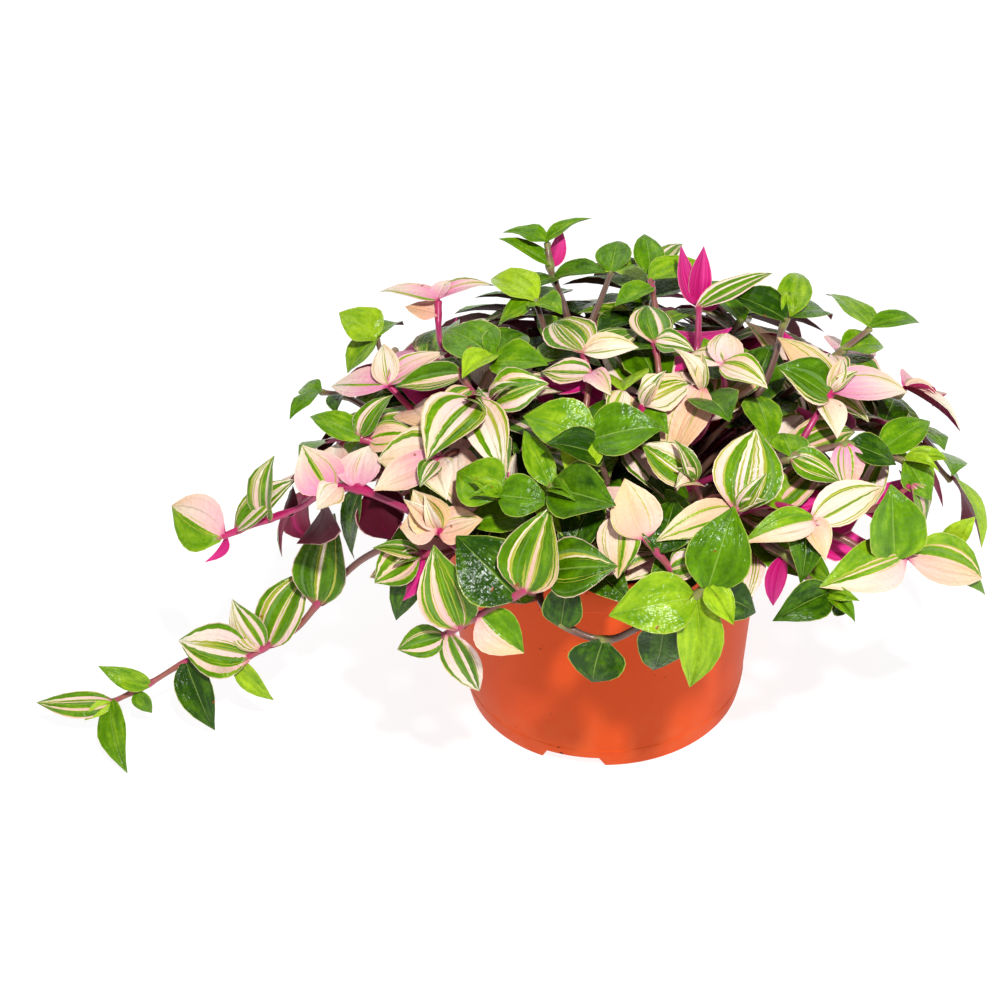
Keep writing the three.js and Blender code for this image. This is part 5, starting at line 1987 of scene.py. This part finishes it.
@dataclass
class Soil:
    """Dark potting soil with a crumbly top, chips of bark and pale grains of perlite."""

    seed: int = 7
    rings: int = 30
    steps: int = 120
    gap: float = 0.35
    collar_room: float = 1.0
    foot_room: float = 0.4
    # The relief of the top: a name, the size of its bumps in metres and their height, and its margin
    relief: Sequence[tuple[str, float, float]] = (("lumps", 0.012, 3.2), ("crumbs", 0.0035, 1.6))
    relief_margin: float = 1.0
    bark_count: int = 300
    bark_size: Sequence[float] = (3.4, 1.9, 1.1)
    perlite_count: int = 140
    perlite_size: Sequence[float] = (1.2, 1.1, 1.0)
    # What a lump's draws keep to: how uneven it is, how high it lies, its tilt in radians, and its size
    uneven: Sequence[float] = (0.72, 1.15)
    heights: Sequence[float] = (-0.6, 1.0)
    tilt: float = 0.4
    sizes: Sequence[float] = (0.5, 1.3)
    lump_radius: float = 1.1
    lump_reach: float = 59.0
    smooth_angle: float = 35.0

    def build(self) -> None:
        """Makes the soil and what lies on it."""
        rng = np.random.default_rng(self.seed)
        self.body()
        bark = EarthFinish("bark", srgb(62, 36, 24), srgb(128, 82, 54), scale=220.0, roughness=0.8)
        self.scatter("bark_chips", bark, self.bark_count, self.bark_size, rng)
        perlite = EarthFinish(
            "perlite", srgb(236, 226, 206), srgb(196, 180, 150), scale=400.0, roughness=0.85, depth=0.6
        )
        self.scatter("perlite_grains", perlite, self.perlite_count, self.perlite_size, rng)

    def body(self) -> None:
        """Makes the filling, with its crumbly top."""
        reach = RIM_RADIUS - WALL - self.collar_room - self.gap
        top = [(reach * k / self.rings, SOIL_TOP) for k in range(self.rings, -1, -1)]
        foot = WALL_FOOT_RADIUS + self.foot_room - WALL - self.gap
        shoulder = (WALL_TOP_RADIUS - WALL - self.gap, COLLAR_FOOT - WALL)
        profile = [(0, FLOOR_TOP + self.gap), (foot, FLOOR_TOP + self.gap), shoulder, *top]
        soil = spun("soil_body", profile, self.steps)
        group = soil.vertex_groups.new(name="top")
        for vertex in soil.data.vertices:
            inside = math.hypot(vertex.co.x, vertex.co.y) < (reach - self.relief_margin) * MM
            if inside and vertex.co.z > (SOIL_TOP - self.relief_margin) * MM:
                group.add([vertex.index], 1.0, "REPLACE")
        for name, size, height in self.relief:
            texture = bpy.data.textures.new(name, "CLOUDS")
            texture.noise_scale = size
            apply_modifier(
                soil, "DISPLACE", texture=texture, strength=height * MM, direction="Z", mid_level=0.5,
                vertex_group="top", texture_coords="LOCAL",
            )
        soil.data.materials.append(EarthFinish("soil", srgb(26, 16, 12), srgb(70, 46, 34)).material())
        select_only(soil)
        bpy.ops.object.shade_smooth()
        settle(soil, "soil", "soil")

    def scatter(
        self, name: str, finish: EarthFinish, count: int, size: Sequence[float], rng: np.random.Generator
    ) -> None:
        """Scatters copies of one lump over the soil, sunk in by about half.

        Args:
            name: The piece's name.
            finish: What the lumps are finished in.
            count: How many there are.
            size: A lump's half sizes, in millimetres.
            rng: Where the draws come from.
        """
        bpy.ops.object.select_all(action="DESELECT")
        bpy.ops.mesh.primitive_ico_sphere_add(subdivisions=1, radius=self.lump_radius)
        lump = bpy.context.object
        shape = np.array([vertex.co for vertex in lump.data.vertices])
        faces = [list(polygon.vertices) for polygon in lump.data.polygons]
        bpy.data.objects.remove(lump)
        shape = shape * rng.uniform(*self.uneven, (len(shape), 1))
        points = []
        for _ in range(count):
            radius = self.lump_reach * math.sqrt(rng.random())
            angle = rng.uniform(0, 2 * math.pi)
            height = SOIL_TOP + rng.uniform(*self.heights)
            place = Vector((radius * math.cos(angle), radius * math.sin(angle), height))
            turn = Matrix.Rotation(rng.uniform(0, FULL_TURN), 3, "Z")
            turn = turn @ Matrix.Rotation(rng.normal(0, self.tilt), 3, "X")
            grown = shape * np.array(size) * rng.uniform(*self.sizes)
            points.append(grown @ np.array(turn).T + np.array(place))
        mesh = bpy.data.meshes.new(name)
        many = [[i + k * len(shape) for i in face] for k in range(count) for face in faces]
        mesh.from_pydata(np.vstack(points) * MM, [], many)
        piece = bpy.data.objects.new(name, mesh)
        bpy.context.collection.objects.link(piece)
        mesh.materials.append(finish.material())
        select_only(piece)
        bpy.ops.object.shade_smooth_by_angle(angle=math.radians(self.smooth_angle))
        settle(piece, "soil")


@dataclass
class Studio:
    """A pale floor, light from above the camera, and the photograph's view.

    Its lengths are in metres, its angles in degrees, and its lens and sensor in millimetres.
    """

    distance: float = 0.8
    elevation: float = 41.1
    roll: float = 0.63
    yaw: float = -2.95
    pitch: float = -5.02
    focal_length: float = 70.84
    sensor_width: float = 36.0
    nearest: float = 0.05
    floor_size: float = 14.0
    far_rise: float = 1.2
    surround: float = 0.16
    floor_gap: float = 0.0001
    floor_glow: float = 0.88
    floor_shade: tuple = srgb(140, 140, 140)
    # The lights: a name, a place, the side of the square and the power in watts
    lights: Sequence[tuple] = (
        ("key", (0.26, -0.8, 1.3), 0.1, 23.5),
        ("left", (-1.0, -0.6, 0.8), 0.7, 1.2),
        ("right", (1.2, -0.35, 0.45), 0.6, 2.5),
        ("back", (-0.2, 0.9, 1.1), 0.8, 4),
    )
    aim: Sequence[float] = (0, 0, 0.1)

    def build(self) -> None:
        """Makes the floor, the surround, the lights and the camera."""
        self.floor()
        world = bpy.data.worlds.new("surround")
        world.use_nodes = True
        background = world.node_tree.nodes["Background"]
        background.inputs["Color"].default_value = (1, 1, 1, 1)
        background.inputs["Strength"].default_value = self.surround
        bpy.context.scene.world = world
        for name, place, size, power in self.lights:
            self.light(name, place, size, power)
        bpy.context.scene.view_settings.view_transform = "Standard"
        self.camera()

    def floor(self) -> None:
        """Makes the floor: a plane with a raised edge far out, in a plain white that glows a little."""
        bpy.ops.object.select_all(action="DESELECT")
        bpy.ops.mesh.primitive_plane_add(size=self.floor_size, location=(0, 0, -self.floor_gap))
        floor = bpy.context.object
        floor.name = "floor"
        floor.data.transform(Matrix.Translation((0, 0, self.far_rise)))
        bpy.ops.object.mode_set(mode="EDIT")
        bpy.ops.mesh.select_all(action="SELECT")
        bpy.ops.mesh.inset(thickness=self.far_rise)
        bpy.ops.transform.translate(value=(0, 0, -self.far_rise))
        bpy.ops.object.mode_set(mode="OBJECT")
        sheet = Sheet("floor", Roughness=0.9, Specular_IOR_Level=0.0, Emission_Strength=self.floor_glow)
        sheet.shader.inputs["Base Color"].default_value = self.floor_shade
        sheet.shader.inputs["Emission Color"].default_value = (1, 1, 1, 1)
        floor.data.materials.append(sheet.material)

    def light(self, name: str, place: Sequence[float], size: float, power: float) -> None:
        """Adds a square soft light that faces the plant.

        Args:
            name: Its name.
            place: Where it is.
            size: The side of the square.
            power: Its power, in watts.
        """
        data = bpy.data.lights.new(name, "AREA")
        data.size = size
        data.energy = power
        lamp = bpy.data.objects.new(name, data)
        lamp.location = place
        lamp.rotation_euler = (Vector(place) - Vector(self.aim)).to_track_quat("Z", "Y").to_euler()
        bpy.context.scene.collection.objects.link(lamp)

    def camera(self) -> None:
        """Adds the camera at the photograph's place and angle."""
        angle = math.radians(self.elevation)
        place = Vector((0, -self.distance * math.cos(angle), self.distance * math.sin(angle)))
        back = place.normalized()
        right = Vector((1, 0, 0))
        level = Matrix((right, back.cross(right), back))
        turn = (
            Matrix.Rotation(math.radians(self.roll), 3, "Z")
            @ Matrix.Rotation(math.radians(self.pitch), 3, "X")
            @ Matrix.Rotation(math.radians(self.yaw), 3, "Y")
            @ level
        )
        data = bpy.data.cameras.new("camera")
        data.lens = self.focal_length
        data.sensor_width = self.sensor_width
        data.clip_start = self.nearest
        camera = bpy.data.objects.new("camera", data)
        camera.matrix_world = Matrix.Translation(place) @ turn.transposed().to_4x4()
        bpy.context.scene.collection.objects.link(camera)
        bpy.context.scene.camera = camera


def main() -> None:
    """Builds the pot, the soil, the foliage and the studio."""
    logging.basicConfig(level=logging.INFO, format="%(name)s: %(message)s", stream=sys.stdout)
    Pot().build()
    Soil().build()
    Foliage().build()
    Studio().build()


if __name__ == "__main__":
    main()
